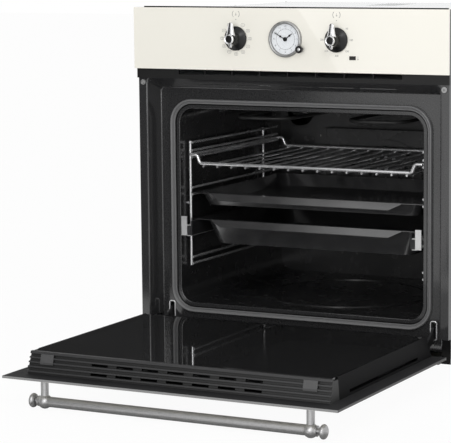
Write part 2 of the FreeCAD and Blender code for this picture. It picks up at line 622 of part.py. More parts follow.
fan_cover = keep(body("fan_cover"))
wide = "fan_cover_width / 2"
tall = "fan_cover_height / 2"
outline = sketch(fan_cover, "XZ", "fan_cover_depth")
rounded(outline, "-" + wide, wide, "-" + tall, tall, "fan_cover_corner")
pad(fan_cover, outline, "fan_cover_depth")
hollow = sketch(fan_cover, "XZ", "fan_cover_depth")
rounded(hollow, "sheet_wall - " + wide, wide + " - sheet_wall",
        "sheet_wall - " + tall, tall + " - sheet_wall", "fan_cover_corner - sheet_wall")
pocket(fan_cover, hollow, "fan_cover_depth - sheet_wall", back=True)
ring = sketch(fan_cover, "XZ")
circle(ring, "0", "0", "fan_ring")
circle(ring, "0", "0", "fan_ring - 2 * fan_ring_rise")
pad(fan_cover, ring, "fan_ring_rise")
for ring_number in range(int(value("fan_hole_rings"))):
    hole = sketch(fan_cover, "XZ")
    circle(hole, "0", "(fan_hole_circle + %d * fan_hole_step) / 2" % ring_number, "fan_hole")
    cut = pocket(fan_cover, hole, "sheet_wall")
    ring_of(fan_cover, cut, hole, "N_Axis", "fan_hole_count * %d" % (ring_number + 1))
place(fan_cover, "0", FAN_COVER_FACE, FAN_HEIGHT)

# Convection fan, its motor and the ring element round it

fan = body("convection_fan")
plate = sketch(fan, "XZ", "-fan_back_gap")
circle(plate, "0", "0", "fan_diameter")
pad(fan, plate, "fan_blade")
hub = sketch(fan, "XZ", "-fan_back_gap")
circle(hub, "0", "0", "fan_hub")
pad(fan, hub, "fan_depth")
axle = sketch(fan, "XZ", "sheet_wall + motor_length")
circle(axle, "0", "0", "shaft")
pad(fan, axle, "sheet_wall + motor_length + fan_back_gap")
blade = sketch(fan, "XZ", "-fan_back_gap")
rectangle(blade, "-fan_blade / 2", "fan_blade / 2", "fan_hub", "fan_diameter / 2 - fan_blade")
vane = pad(fan, blade, "fan_depth")
ring_of(fan, vane, blade, "N_Axis", "fan_blade_count")
keep(place(fan, "0", CAVITY_REAR, FAN_HEIGHT))

fan_motor = body("fan_motor")
seat = sketch(fan_motor, "XZ", "3 * sheet_wall")
rounded(seat, "-motor_seat / 2", "motor_seat / 2", "-motor_seat / 2", "motor_seat / 2", "switch_corner")
pad(fan_motor, seat, "2 * sheet_wall")
can = sketch(fan_motor, "XZ", "sheet_wall + motor_length + panel_sheet")
circle(can, "0", "0", "motor_can")
pad(fan_motor, can, "motor_length + panel_sheet - 2 * sheet_wall")
bore = sketch(fan_motor, "XZ", "sheet_wall")
circle(bore, "0", "0", "shaft + 2 * running_fit")
pocket(fan_motor, bore, "motor_length + running_fit")
keep(place(fan_motor, "0", CAVITY_REAR, FAN_HEIGHT))


def make_ring_element():
    """One turn of heating tube round the fan, whose ends leave through the rear wall."""
    radius = value("ring_diameter / 2")
    deep = value(CAVITY_REAR + " - ring_forward")
    middle = value(FAN_HEIGHT)
    half_gap = value("tail_spacing / 2")
    low = middle - math.sqrt(radius ** 2 - half_gap ** 2)
    left = FreeCAD.Vector(-half_gap, deep, low)
    right = FreeCAD.Vector(half_gap, deep, low)
    top = FreeCAD.Vector(0, deep, middle + radius)
    turn = Part.Wire(Part.Arc(left, top, right).toShape())
    heading = turn.Edges[0].tangentAt(turn.Edges[0].FirstParameter)
    section = Part.Wire(Part.makeCircle(value("element_tube / 2"), left, heading))
    pieces = [turn.makePipeShell([section], True, False)]
    tail = value(CAVITY_REAR + " + element_tail")
    for side in (left, right):
        hole_height = middle - radius
        end = FreeCAD.Vector(side.x, side.y, hole_height)
        pieces.append(rod(tuple(end), (end.x, tail, end.z), value("element_tube")))
        pieces.append(Part.makeSphere(value("element_tube / 2"), end))
    return welded(pieces)


keep(shaped("ring_element", make_ring_element()))


def make_grill_element():
    """A zigzag of heating tube under the cavity roof, from the rear wall and back to it."""
    pitch = value("grill_leg_spacing")
    height = value(CAVITY_ROOF + " - grill_drop")
    front = value(FLOOR + " + grill_front")
    turn = value(FAN_COVER_FACE + " - element_tail")
    tail = value(CAVITY_REAR + " + element_tail")
    legs = int(value("grill_leg_count"))
    stops = []
    for leg in range(legs):
        across = (leg - (legs - 1) / 2) * pitch
        back = tail if leg in (0, legs - 1) else turn
        run = (front, back) if leg % 2 else (back, front)
        stops += [(across, deep, height) for deep in run]
    return bent_wire(stops, value("grill_bend"), value("element_tube"))


keep(shaped("grill_element", make_grill_element()))

lens = body("lamp_lens")
revolve(lens, [("0", "0"), ("lens_diameter / 2", "0"), ("lens_diameter / 2", "-lens_rim"),
               ("lens_crown / 2", "-lens_dome"), ("0", "-lens_dome")], "V_Axis")
keep(place(lens, "-lens_across", CAVITY_REAR, CAVITY_ROOF + " - lens_below"))

# Side racks: welded wire ladders hung on studs in the cavity walls


def make_rack(side):
    post = side * value(POST_X)
    guide = side * value(GUIDE_X)
    front = value(FLOOR + " + rack_front")
    back = front + value("rack_pitch")
    end = value(CAVITY_REAR + " - rack_rear_gap")
    foot = value("rack_foot")
    head = value("rack_head")
    lead = value("rack_post / 2")
    wires = [rod((post, deep, foot), (post, deep, head), value("rack_post")) for deep in (front, back)]
    heights = [head - lead]
    for name in ("guide_shelf", "guide_shallow", "guide_deep", "guide_low"):
        heights += [value(name), value(name + " + guide_gap")]
    wires += [rod((guide, front - lead, up), (guide, end, up), value("rack_wire")) for up in heights]
    return welded(wires)


keep(shaped("side_rack_left", make_rack(-1)))
keep(shaped("side_rack_right", make_rack(1)))


def make_stud(deep, up):
    piece = body("stud")
    outline = sketch(piece, "YZ", POST_X + " + rack_post / 2 + hole_clear")
    circle(outline, deep, up, "stud")
    pad(piece, outline, "rack_post_gap - rack_post / 2 - hole_clear")
    return piece


studs = []
for deep, up in [(FLOOR + " + rack_front", "stud_front_height"),
                 (FLOOR + " + rack_front + rack_pitch", "stud_rear_height")]:
    right_stud = make_stud(deep, up)
    left_stud = doc.addObject("Part::Mirroring", "stud_left")
    left_stud.Source = right_stud
    left_stud.Normal = FreeCAD.Vector(1, 0, 0)
    studs += [right_stud, left_stud]
rack_studs = doc.addObject("Part::Compound", "rack_studs")
rack_studs.Links = studs
rack_studs.Label = "rack_studs"
keep(rack_studs)

# Telescopic runners of the deep tray: fixed channels on the rack, slides that carry the tray

RUNNER_OUT = "(%s - rack_wire / 2 - runner_wire_gap)" % GUIDE_X
RUNNER_IN = "(%s - runner_width)" % RUNNER_OUT
RUNNER_LOW = "(guide_deep - runner_drop)"
RUNNER_HIGH = "(guide_deep - runner_drop + runner_height)"
RUNNER_WEB = "(%s - runner_wall)" % RUNNER_OUT
RUNNER_FRONT = "(recess_floor - runner_front)"
TRAY_REAR = "(%s - tray_rear_gap)" % CAVITY_REAR
SLIDE_TOP = "(%s + slide_rise)" % RUNNER_HIGH

inner_high = RUNNER_HIGH + " - runner_wall"
inner_low = RUNNER_LOW + " + runner_wall"
rail = body("runner_rail")
outline = sketch(rail, "XZ", TRAY_REAR)
polygon(outline, [(RUNNER_IN, RUNNER_LOW), (RUNNER_OUT, RUNNER_LOW), (RUNNER_OUT, RUNNER_HIGH),
                  (RUNNER_IN, RUNNER_HIGH), (RUNNER_IN, inner_high), (RUNNER_WEB, inner_high),
                  (RUNNER_WEB, inner_low), (RUNNER_IN, inner_low)])
pad(rail, outline, "%s - %s" % (TRAY_REAR, RUNNER_FRONT))
tab = sketch(rail, "XZ", RUNNER_FRONT)
tab_low = "guide_deep - tab_low"
rectangle(tab, RUNNER_WEB, RUNNER_WEB + " + tab_width", tab_low, tab_low + " + tab_height")
pad(rail, tab, "tab_thick")
keep(mirrored_pair("runner_rails", rail))

slide = body("runner_slide")
outline = sketch(slide, "XZ", TRAY_REAR)
slide_in = RUNNER_IN + " - 2 * runner_wall - runner_play"
neck_in = RUNNER_IN + " - runner_play"
bar_out = RUNNER_WEB + " - runner_play"
bar_high = inner_high + " - runner_play"
bar_low = inner_low + " + runner_play"
polygon(outline, [(slide_in, bar_low), (bar_out, bar_low), (bar_out, bar_high), (neck_in, bar_high),
                  (neck_in, SLIDE_TOP), (slide_in, SLIDE_TOP)])
pad(slide, outline, "%s - %s" % (TRAY_REAR, RUNNER_FRONT))
keep(mirrored_pair("runner_slides", slide))

# Wire shelf: a cranked frame that rides in the rack, with a bed of thin bars

SHELF_SIDE = "(%s - shelf_wire / 2)" % GUIDE_REACH
SHELF_CONTACT = "((rack_wire + shelf_wire) / 2 + slide_clear)"
SHELF_HEIGHT = "(guide_shelf + sqrt(%s * %s - (%s - %s) * (%s - %s)))" % (
    SHELF_CONTACT, SHELF_CONTACT, GUIDE_X, SHELF_SIDE, GUIDE_X, SHELF_SIDE)


def make_shelf():
    thick = value("shelf_wire")
    bend = value("shelf_bend")
    side = value(SHELF_SIDE)
    high = value(SHELF_HEIGHT)
    low = high - value("shelf_drop")
    front = value(FLOOR + " + shelf_front")
    rear = value(CAVITY_REAR + " - shelf_rear_gap")
    ledge = side - value("shelf_ledge")
    bed = ledge - bend
    wires = []
    for deep in (front, rear):
        stops = [(-side, high), (-ledge, high), (-bed, low), (bed, low), (ledge, high), (side, high)]
        wires.append(bent_wire([(across, deep, up) for across, up in stops], bend, thick))
    for across in (-side, side):
        wires.append(rod((across, front, high), (across, rear, high), thick))
        wires += [Part.makeSphere(thick / 2, FreeCAD.Vector(across, deep, high)) for deep in (front, rear)]
    count = int(value("bed_count"))
    thin = value("bed_wire")
    bed_height = low - (thick + thin) / 2 + value("rack_weld")
    reach = bed - value("bed_margin")
    for number in range(count):
        across = -reach + 2 * reach * number / (count - 1)
        start = (across, front - thick / 2, bed_height)
        wires.append(rod(start, (across, rear + thick / 2, bed_height), thin))
    return welded(wires)


keep(shaped("wire_shelf", make_shelf()))

# Trays: enamelled pressings with flared sides, a flange that rides on the rack and a drooping front grip


def make_tray(label, rim, half_width, depth, flange, flare):
    piece = body(label)
    front = FLOOR + " + tray_front"
    nose = front + " - grip_reach"
    nose_low = rim + " - grip_drop"
    plate = sketch(piece, "XY", rim)
    rectangle(plate, "-" + half_width, half_width, front, TRAY_REAR)
    pad(piece, plate, "tray_sheet")
    grip = sketch(piece, "YZ", "grip_width / 2")
    polygon(grip, [(front, rim), (front, rim + " + tray_sheet"), (nose, nose_low + " + tray_sheet"),
                   (nose, nose_low)])
    pad(piece, grip, "grip_width", back=True)
    wings = sketch(piece, "XZ", nose + " - cut_margin")
    for side in ("-1", "1"):
        polygon(wings, [("%s * (%s)" % (side, across), up) for across, up in (
            ("grip_width / 2 + cut_margin", rim), ("grip_width / 2 + cut_margin", nose_low + " - cut_margin"),
            ("grip_width / 2 - grip_taper", nose_low + " - cut_margin"))])
    pocket(piece, wings, "grip_reach + cut_margin")

    def level(inset, up):
        drawing = sketch(piece, "XY", up)
        across = "(%s - %s - %s)" % (half_width, flange, inset)
        rounded(drawing, "-" + across, across, "%s + %s + %s" % (front, flange, inset),
                "%s - %s - %s" % (TRAY_REAR, flange, inset), "tray_corner")
        return drawing

    bottom = "%s - %s" % (rim, depth)
    loft(piece, "AdditiveLoft", [level("0", rim), level(flare, bottom)])
    loft(piece, "SubtractiveLoft", [level("tray_sheet", rim + " + tray_sheet"),
                                    level("(%s + tray_sheet)" % flare, bottom + " + tray_sheet")])
    return piece


SHALLOW_RIM = "(guide_shallow + rack_wire / 2 + slide_clear)"
keep(make_tray("shallow_tray", SHALLOW_RIM, GUIDE_REACH, "shallow_depth", "shallow_flange", "shallow_flare"))
DEEP_HALF = "(%s - post_clear)" % RUNNER_WEB
keep(make_tray("deep_tray", SLIDE_TOP, DEEP_HALF, "deep_depth", "deep_flange", "deep_flare"))

# Control panel: an enamelled folded front with holes for the knobs, clock and lamp

control_panel = keep(body("control_panel"))
outline = sketch(control_panel, "XZ", "-sheet_wall")
rectangle(outline, "-" + HALF, HALF, PANEL_LOW, "oven_height")
pad(control_panel, outline, "front_proud - sheet_wall")
hollow = sketch(control_panel, "XZ", "-sheet_wall")
rectangle(hollow, "panel_sheet - " + HALF, HALF + " - panel_sheet",
          PANEL_LOW + " + panel_sheet", "oven_height - panel_sheet")
pocket(control_panel, hollow, "front_proud - sheet_wall - panel_sheet", back=True)
holes = sketch(control_panel, "XZ", FACE)
for side in ("-1", "1"):
    circle(holes, side + " * knob_spacing / 2", KNOB_HEIGHT, "switch_neck + 2 * hole_clear")
circle(holes, "0", KNOB_HEIGHT, "clock_turret + 2 * hole_clear")
circle(holes, "setting_across", KNOB_HEIGHT + " - setting_drop", "setting_stem + 2 * hole_clear")
lamp_low = "oven_height - lamp_drop - lamp_height / 2"
rectangle(holes, "lamp_across - lamp_width / 2", "lamp_across + lamp_width / 2",
          lamp_low, lamp_low + " + lamp_height")
pocket(control_panel, holes, "panel_sheet")

vent_strip = keep(body("vent_strip"))
outline = sketch(vent_strip, "XZ", RIM)
rectangle(outline, "strip_inset - " + HALF, HALF + " - strip_inset", STRIP_LOW, PANEL_LOW)
pad(vent_strip, outline, "strip_thick")
slot = sketch(vent_strip, "XZ", RIM + " - strip_thick")
slot_left = "-vent_pitch * (vent_count - 1) / 2 - vent_width / 2"
rectangle(slot, slot_left, slot_left + " + vent_width", vent_low, vent_low + " + vent_height")
cut = pocket(vent_strip, slot, "strip_thick")
row_of(vent_strip, cut, slot, "H_Axis", "vent_pitch", "vent_count")

indicator_lamp = keep(body("indicator_lamp"))
outline = sketch(indicator_lamp, "XZ", "lamp_body")
rectangle(outline, "-lamp_width / 2", "lamp_width / 2", "-lamp_height / 2", "lamp_height / 2")
pad(indicator_lamp, outline, "lamp_body + lamp_proud")
place(indicator_lamp, "lamp_across", FACE, "oven_height - lamp_drop")

# Rotary switches behind the panel, with their spindles and lever knobs


def make_switch(label, side):
    piece = body(label)
    case = sketch(piece, "XZ", "panel_sheet + switch_length")
    half = "switch_size / 2"
    rounded(case, "-" + half, half, "-" + half, half, "switch_corner")
    pad(piece, case, "switch_length")
    neck = sketch(piece, "XZ", "panel_sheet")
    circle(neck, "0", "0", "switch_neck")
    pad(piece, neck, "panel_sheet")
    tabs = sketch(piece, "XZ", "panel_sheet + switch_length")
    for across in ("-1", "1"):
        for up in ("-1", "1"):
            middle = across + " * switch_tab_inset"
            level = up + " * switch_tab_inset"
            rectangle(tabs, middle + " - switch_tab / 2", middle + " + switch_tab / 2",
                      level + " - switch_tab_thick / 2", level + " + switch_tab_thick / 2")
    pad(piece, tabs, "switch_tab_length", back=True)
    bore = sketch(piece, "XZ", "0")
    circle(bore, "0", "0", "spindle + 2 * running_fit")
    pocket(piece, bore, "panel_sheet + spindle_back + running_fit")
    return place(piece, side + " * knob_spacing / 2", FACE, KNOB_HEIGHT)


def make_knob(label, side):
    piece = body(label)
    skirt = "knob_skirt / 2"
    hub = "knob_hub / 2"
    bore = "spindle / 2 + running_fit"
    rear = "-knob_gap"
    edge = rear + " - knob_edge"
    shoulder = rear + " - knob_shoulder"
    front = rear + " - knob_length"
    deep = "(%s + lever_thick / 2)" % front
    revolve(piece, [(bore, rear), (skirt, rear), (skirt, edge), (hub, shoulder), (hub, deep),
                    ("knob_cap / 2", front), ("0", front), ("0", deep), (bore, deep)], "V_Axis")
    lever = sketch(piece, "XZ", front + " + lever_thick")
    rounded(lever, "-lever_width / 2", "lever_width / 2", "-lever_tail", "lever_tip",
            "lever_width / 2 - lever_flat")
    pad(piece, lever, "lever_thick")
    hole = sketch(piece, "XZ", rear)
    circle(hole, "0", "0", "spindle + 2 * running_fit")
    pocket(piece, hole, "knob_length - lever_thick / 2", back=True)
    return place(piece, side + " * knob_spacing / 2", FACE, KNOB_HEIGHT)


def make_knob_cap(label, side):
    piece = body(label)
    rear = "-knob_gap - knob_length"
    front = rear + " - knob_cap_length"
    dish = "knob_cap_dish / 2"
    rim = "knob_cap / 2"
    revolve(piece, [("0", rear), (rim, rear), (rim, rear + " - knob_cap_length / 2"),
                    (dish + " + knob_cap_lip", front), (dish, front), (dish, front + " + knob_cap_lip"),
                    ("0", front + " + knob_cap_crown")], "V_Axis")
    return place(piece, side + " * knob_spacing / 2", FACE, KNOB_HEIGHT)


def make_spindle(label, side):
    piece = body(label)
    outline = sketch(piece, "XZ", "panel_sheet + spindle_back")
    circle(outline, "0", "0", "spindle")
    pad(piece, outline, "panel_sheet + spindle_back + knob_gap + knob_length - lever_thick / 2 - running_fit")
    return place(piece, side + " * knob_spacing / 2", FACE, KNOB_HEIGHT)


for side, switch, name in (("-1", "function_switch", "function"), ("1", "thermostat", "thermostat")):
    keep(make_switch(switch, side))
    keep(make_spindle(name + "_spindle", side))
    keep(make_knob(name + "_knob", side))
    keep(make_knob_cap(name + "_knob_cap", side))

# Clock: a movement behind the panel, its dial, bezel, glass and two hands on coaxial arbors

PIPE_BORE = "(arbor + 2 * running_fit)"
HOUR_BACK = "(-dial_sheet - hand_gap)"
MINUTE_BACK = "(-dial_sheet - 2 * hand_gap - hand_sheet)"
GLASS_BACK = "(-dial_sheet - 3 * hand_gap - 2 * hand_sheet)"

movement = body("clock_movement")
outline = sketch(movement, "XZ", "panel_sheet + movement_length")
half = "movement_size / 2"
rounded(outline, "-" + half, half, "-" + half, half, "switch_corner")
pad(movement, outline, "movement_length")
turret = sketch(movement, "XZ", "panel_sheet")
circle(turret, "0", "0", "clock_turret")
pad(movement, turret, "panel_sheet")
bores = sketch(movement, "XZ", "0")
circle(bores, "0", "0", "pipe + 2 * running_fit")
circle(bores, "setting_across", "-setting_drop", "setting_stem + 2 * running_fit")
pocket(movement, bores, "panel_sheet + movement_length / 2")
keep(place(movement, "0", FACE, KNOB_HEIGHT))

dial = body("clock_dial")
outline = sketch(dial, "XZ", "0")
circle(outline, "0", "0", "clock_dial")
circle(outline, "0", "0", "pipe + 2 * hole_clear")
pad(dial, outline, "dial_sheet")
keep(place(dial, "0", FACE, KNOB_HEIGHT))

bezel = body("clock_bezel")
inner = "clock_dial / 2 + bezel_play"
outer = "clock_bezel / 2"
revolve(bezel, [(inner, "0"), (outer, "0"), (outer, "bezel_chamfer - bezel_proud"),
                (outer + " - bezel_chamfer", "-bezel_proud"), (inner + " + bezel_chamfer", "-bezel_proud"),
                (inner, "bezel_chamfer - bezel_proud")], "V_Axis")
keep(place(bezel, "0", FACE, KNOB_HEIGHT))

glass = body("clock_glass")
outline = sketch(glass, "XZ", GLASS_BACK)
circle(outline, "0", "0", "clock_dial")
pad(glass, outline, "glass_lens")
keep(place(glass, "0", FACE, KNOB_HEIGHT))


def make_hand(label, reach, back, shaft, bore, angle):
    """A tapered hand fixed on a round arbor that runs back into the movement."""
    piece = body(label)
    outline = sketch(piece, "XZ", back)
    wide = "hand_width / 2"
    polygon(outline, [("-" + wide, "-hand_tail"), (wide, "-hand_tail"), (wide + " / 2", reach),
                      ("-%s / 2" % wide, reach)])
    pad(piece, outline, "hand_sheet")
    boss = sketch(piece, "XZ", back)
    circle(boss, "0", "0", "pipe + hand_width")
    pad(piece, boss, "hand_sheet")
    axle = sketch(piece, "XZ", "panel_sheet + arbor_back")
    circle(axle, "0", "0", shaft)
    pad(piece, axle, "panel_sheet + arbor_back - (%s)" % back)
    if bore:
        hole = sketch(piece, "XZ", back + " - hand_sheet")
        circle(hole, "0", "0", bore)
        pocket(piece, hole, "panel_sheet + arbor_back - (%s) + hand_sheet" % back)
    piece.Placement = FreeCAD.Placement(vector("0", FACE, KNOB_HEIGHT),
                                        FreeCAD.Rotation(FreeCAD.Vector(0, 1, 0), value(angle)))
    return piece


keep(make_hand("hour_hand", "hour_reach", HOUR_BACK, "pipe", PIPE_BORE, "hour_angle"))
keep(make_hand("minute_hand", "minute_reach", MINUTE_BACK, "arbor", None, "minute_angle"))

setting = body("setting_knob")
grip = "setting_knob / 2"
stem = "setting_stem / 2"
revolve(setting, [("0", "panel_sheet + arbor_back"), (stem, "panel_sheet + arbor_back"),
                  (stem, "setting_length - setting_proud"), (grip, "setting_length - setting_proud"),
                  (grip, "setting_chamfer - setting_proud"), (grip + " - setting_chamfer", "-setting_proud"),
                  ("0", "-setting_proud")], "V_Axis")
keep(place(setting, "setting_across", FACE, KNOB_HEIGHT + " - setting_drop"))

# Cooling blower above the cavity, which blows out through the vent strip

DUCT_LOW = "(%s - vent_drop - vent_height - blower_wall)" % PANEL_LOW
DUCT_FRONT = "(%s + sheet_wall)" % RIM
BLOWER_Y = "(%s + duct_depth)" % DUCT_FRONT
BLOWER_Z = "(%s + blower_lift)" % DUCT_LOW


def make_blower_housing():
    """A scroll round the impeller and the flat duct that leads to the front frame."""
    wall = value("blower_wall")
    half = value("blower_length / 2")
    radius = value("blower_radius")
    axis = FreeCAD.Vector(1, 0, 0)
    deep = value(BLOWER_Y)
    up = value(BLOWER_Z)
    low = value(DUCT_LOW)
    front = value(DUCT_FRONT)
    wide = value("duct_width / 2")
    tall = value("vent_height + 2 * blower_wall")
    scroll = Part.makeCylinder(radius, 2 * half, FreeCAD.Vector(-half, deep, up), axis)
    hollow = Part.makeCylinder(radius - wall, 2 * half - 2 * wall,
                               FreeCAD.Vector(wall - half, deep, up), axis)
    duct = Part.makeBox(2 * wide, deep - front, tall, FreeCAD.Vector(-wide, front, low))
    passage = Part.makeBox(2 * half - 2 * wall, deep - front, tall - 2 * wall,
                           FreeCAD.Vector(wall - half, front, low + wall))
    mouth = Part.makeBox(2 * wide - 2 * wall, deep - front - radius - wall, tall - 2 * wall,
                         FreeCAD.Vector(wall - wide, front, low + wall))
    intake = Part.makeBox(2 * half - 4 * wall, radius, radius,
                          FreeCAD.Vector(2 * wall - half, deep, up + value("intake_rise")))
    bore = Part.makeCylinder(value("shaft / 2 + 2 * hole_clear"), 4 * half,
                             FreeCAD.Vector(-2 * half, deep, up), axis)
    return scroll.fuse(duct).cut(hollow.multiFuse([passage, mouth, intake, bore])).removeSplitter()


keep(shaped("blower_housing", make_blower_housing()))

impeller = body("blower_impeller")
first_disc = sketch(impeller, "YZ", "-impeller_length / 2")
circle(first_disc, "0", "0", "impeller_diameter")
pad(impeller, first_disc, "impeller_disc")
blade = sketch(impeller, "YZ", "-impeller_length / 2")
rectangle(blade, "-impeller_blade / 2", "impeller_blade / 2",
          "impeller_diameter / 2 - impeller_blade_depth", "impeller_diameter / 2")
vane = pad(impeller, blade, "impeller_length")
ring_of(impeller, vane, blade, "N_Axis", "impeller_blade_count")
last_disc = sketch(impeller, "YZ", "impeller_length / 2 - impeller_disc")
circle(last_disc, "0", "0", "impeller_diameter")
pad(impeller, last_disc, "impeller_disc")
axle = sketch(impeller, "YZ", "-blower_length / 2")
circle(axle, "0", "0", "shaft")
pad(impeller, axle, "blower_length + blower_motor_length / 2")
keep(place(impeller, "0", BLOWER_Y, BLOWER_Z))

blower_motor = body("blower_motor")
can = sketch(blower_motor, "YZ", "blower_length / 2")
circle(can, "0", "0", "blower_motor_can")
pad(blower_motor, can, "blower_motor_length")
bore = sketch(blower_motor, "YZ", "blower_length / 2")
circle(bore, "0", "0", "shaft + 2 * running_fit")
pocket(blower_motor, bore, "blower_motor_length / 2 + running_fit", back=True)
keep(place(blower_motor, "0", BLOWER_Y, BLOWER_Z))

# Hinge arms: flat steel arms hooked into the front frame, each with its pivot pin

arm = body("hinge_arm")
outline = sketch(arm, "YZ", "hinge_across - arm_thick / 2")
end_half = "arm_end / 2"
polygon(outline, [(HINGE_Y, "hinge_height - " + end_half), (FLOOR, "slot_low"), ("arm_reach", "slot_low"),
                  ("arm_reach", "slot_low + arm_height"), (FLOOR, "slot_low + arm_height"),
                  (HINGE_Y, "hinge_height + " + end_half)])
pad(arm, outline, "arm_thick")
eye = sketch(arm, "YZ", "hinge_across - arm_thick / 2")
circle(eye, HINGE_Y, "hinge_height", "arm_end")
pad(arm, eye, "arm_thick")
pin = sketch(arm, "YZ", "hinge_across - housing_width / 2")
circle(pin, HINGE_Y, "hinge_height", "hinge_pin")
pad(arm, pin, "housing_width")
keep(mirrored_pair("hinge_arms", arm))

# Door, drawn closed and then swung down about the hinge pins

DOOR_SWING = FreeCAD.Placement(FreeCAD.Vector(), FreeCAD.Rotation(FreeCAD.Vector(1, 0, 0), 90),
                               vector("0", HINGE_Y, "hinge_height"))


def keep_door(piece):
    piece.Placement = DOOR_SWING
    return keep(piece)


def pane(label, half_width, low, high, back):
    piece = body(label)
    outline = sketch(piece, "XZ", back)
    rectangle(outline, "-(%s)" % half_width, half_width, low, high)
    pad(piece, outline, "door_glass")
    return piece


keep_door(pane("door_outer_panel", HALF, "door_foot", "door_head", DOOR_GLASS_BACK))
keep_door(pane("door_middle_glass", "middle_glass_width / 2", "glass_foot", RAIL_FOOT + " - glass_play",
               DOOR_INNER + " - middle_glass_back"))
GLASS_HEAD = "(%s - rail_lean - rail_wall - glass_play)" % DOOR_BODY_HEAD
INNER_GLASS_SIDE = "(%s - door_wall - glass_play)" % DOOR_SIDE
keep_door(pane("door_inner_glass", INNER_GLASS_SIDE, "glass_foot", GLASS_HEAD, DOOR_INNER))


LEDGE_TOP = "(%s - door_glass)" % DOOR_INNER


def make_door_side():
    """A drafted profile with a glass ledge, a slanted foot and a long notch beside the outer panel."""
    piece = body("door_side_right")
    outline = sketch(piece, "XY", "door_toe")
    inner = DOOR_SIDE + " - door_wall"
    ledge_in = DOOR_SIDE + " - ledge_width"
    ledge_low = LEDGE_TOP + " - door_wall"
    polygon(outline, [(DOOR_ROOT, DOOR_GLASS_BACK), (DOOR_SIDE, DOOR_INNER), (inner, DOOR_INNER),
                      (inner, LEDGE_TOP), (ledge_in, LEDGE_TOP), (ledge_in, ledge_low), (inner, ledge_low),
                      (DOOR_ROOT + " - door_wall", DOOR_GLASS_BACK)])
    pad(piece, outline, RAIL_FOOT + " - door_toe")
    foot = sketch(piece, "YZ", DOOR_ROOT)
    polygon(foot, [(DOOR_GLASS_BACK, "door_toe"), (DOOR_INNER, "door_toe"), (DOOR_INNER, "door_heel")])
    pocket(piece, foot, "ledge_width + door_draft")
    notch = sketch(piece, "YZ", DOOR_ROOT)
    notch_front = DOOR_GLASS_BACK + " + side_notch_inset"
    rectangle(notch, notch_front, notch_front + " + side_notch", "door_heel + side_notch_margin",
              RAIL_FOOT + " - side_notch_margin")
    pocket(piece, notch, "door_draft + door_wall")
    return piece


door_side_right = keep_door(make_door_side())
door_side_left = doc.addObject("Part::Mirroring", "door_side_left")
door_side_left.Label = "door_side_left"
door_side_left.Source = door_side_right
door_side_left.Normal = FreeCAD.Vector(1, 0, 0)
keep(door_side_left)


def rail_point(share, rise="0"):
    """A point of the rail's slanted face, from its outer edge at 0 to its inner edge at 1."""
    deep = "%s + (%s - (%s)) * %.4f" % (DOOR_GLASS_BACK, DOOR_INNER, DOOR_GLASS_BACK, share)
    return deep, "%s - rail_lean * %.4f + %s" % (DOOR_BODY_HEAD, share, rise)


# Louvres: each takes this part of its share of the face, and the last runs on to the glass
RIDGE_START = 0.45
RIDGE_END = 0.8
top_rail = body("door_top_rail")
ridges = int(value("ridge_count"))
face = [rail_point(0)]
for number in range(ridges):
    start = (number + RIDGE_START) / ridges
    end = 1 if number == ridges - 1 else (number + RIDGE_END) / ridges
    face += [rail_point(start), rail_point(start, "ridge_rise"), rail_point(end, "ridge_rise")]
    if end < 1:
        face.append(rail_point(end))
outline = sketch(top_rail, "YZ", DOOR_ROOT)
glass_stop = DOOR_BODY_HEAD + " - rail_lean - rail_wall"
polygon(outline, face + [(DOOR_INNER, glass_stop), (LEDGE_TOP, glass_stop), (LEDGE_TOP, RAIL_FOOT),
                         (DOOR_GLASS_BACK, RAIL_FOOT)])
pad(top_rail, outline, "2 * " + DOOR_ROOT, back=True)
ends = sketch(top_rail, "XY", DOOR_BODY_HEAD + " + ridge_rise + cut_margin")
for side in ("-1", "1"):
    polygon(ends, [("%s * %s" % (side, x), y) for x, y in (
        (DOOR_ROOT, DOOR_GLASS_BACK), (DOOR_SIDE, DOOR_INNER), (DOOR_ROOT, DOOR_INNER))])
pocket(top_rail, ends, "rail_height + ridge_rise + 2 * cut_margin")
hollow = sketch(top_rail, "YZ", DOOR_SIDE + " - rail_wall")
inner_front = DOOR_GLASS_BACK + " + rail_wall"
inner_back = LEDGE_TOP + " - rail_wall"
polygon(hollow, [(inner_front, RAIL_FOOT), (inner_back, RAIL_FOOT), (inner_back, glass_stop + " - rail_wall"),
                 (inner_front, DOOR_BODY_HEAD + " - 2 * rail_wall")])
pocket(top_rail, hollow, "door_body_width - 2 * rail_wall")
for number in (0, ridges - 3):
    groove_start = rail_point((number + RIDGE_END) / ridges)[0]
    groove_end = rail_point((number + 1 + RIDGE_START) / ridges)[0]
    slot = sketch(top_rail, "XY", DOOR_BODY_HEAD)
    left = "-rail_slot_pitch * (rail_slot_count - 1) / 2 - rail_slot / 2"
    rectangle(slot, left, left + " + rail_slot", groove_start, groove_end)
    cut = pocket(top_rail, slot, "rail_lean + 2 * rail_wall")
    row_of(top_rail, cut, slot, "H_Axis", "rail_slot_pitch", "rail_slot_count")

bottom_rail = body("door_bottom_rail")
outline = sketch(bottom_rail, "YZ", "bottom_rail_width / 2")
shelf_low = "glass_foot - door_wall"
middle_front = DOOR_INNER + " - middle_glass_back - door_glass - door_wall"
polygon(outline, [(DOOR_GLASS_BACK, "door_toe"), (DOOR_INNER, "door_heel"), (DOOR_INNER, "glass_foot"),
                  (middle_front, "glass_foot"), (middle_front, shelf_low), (LEDGE_TOP, shelf_low),
                  (DOOR_GLASS_BACK, "door_toe + 2 * door_wall")])
pad(bottom_rail, outline, "bottom_rail_width", back=True)

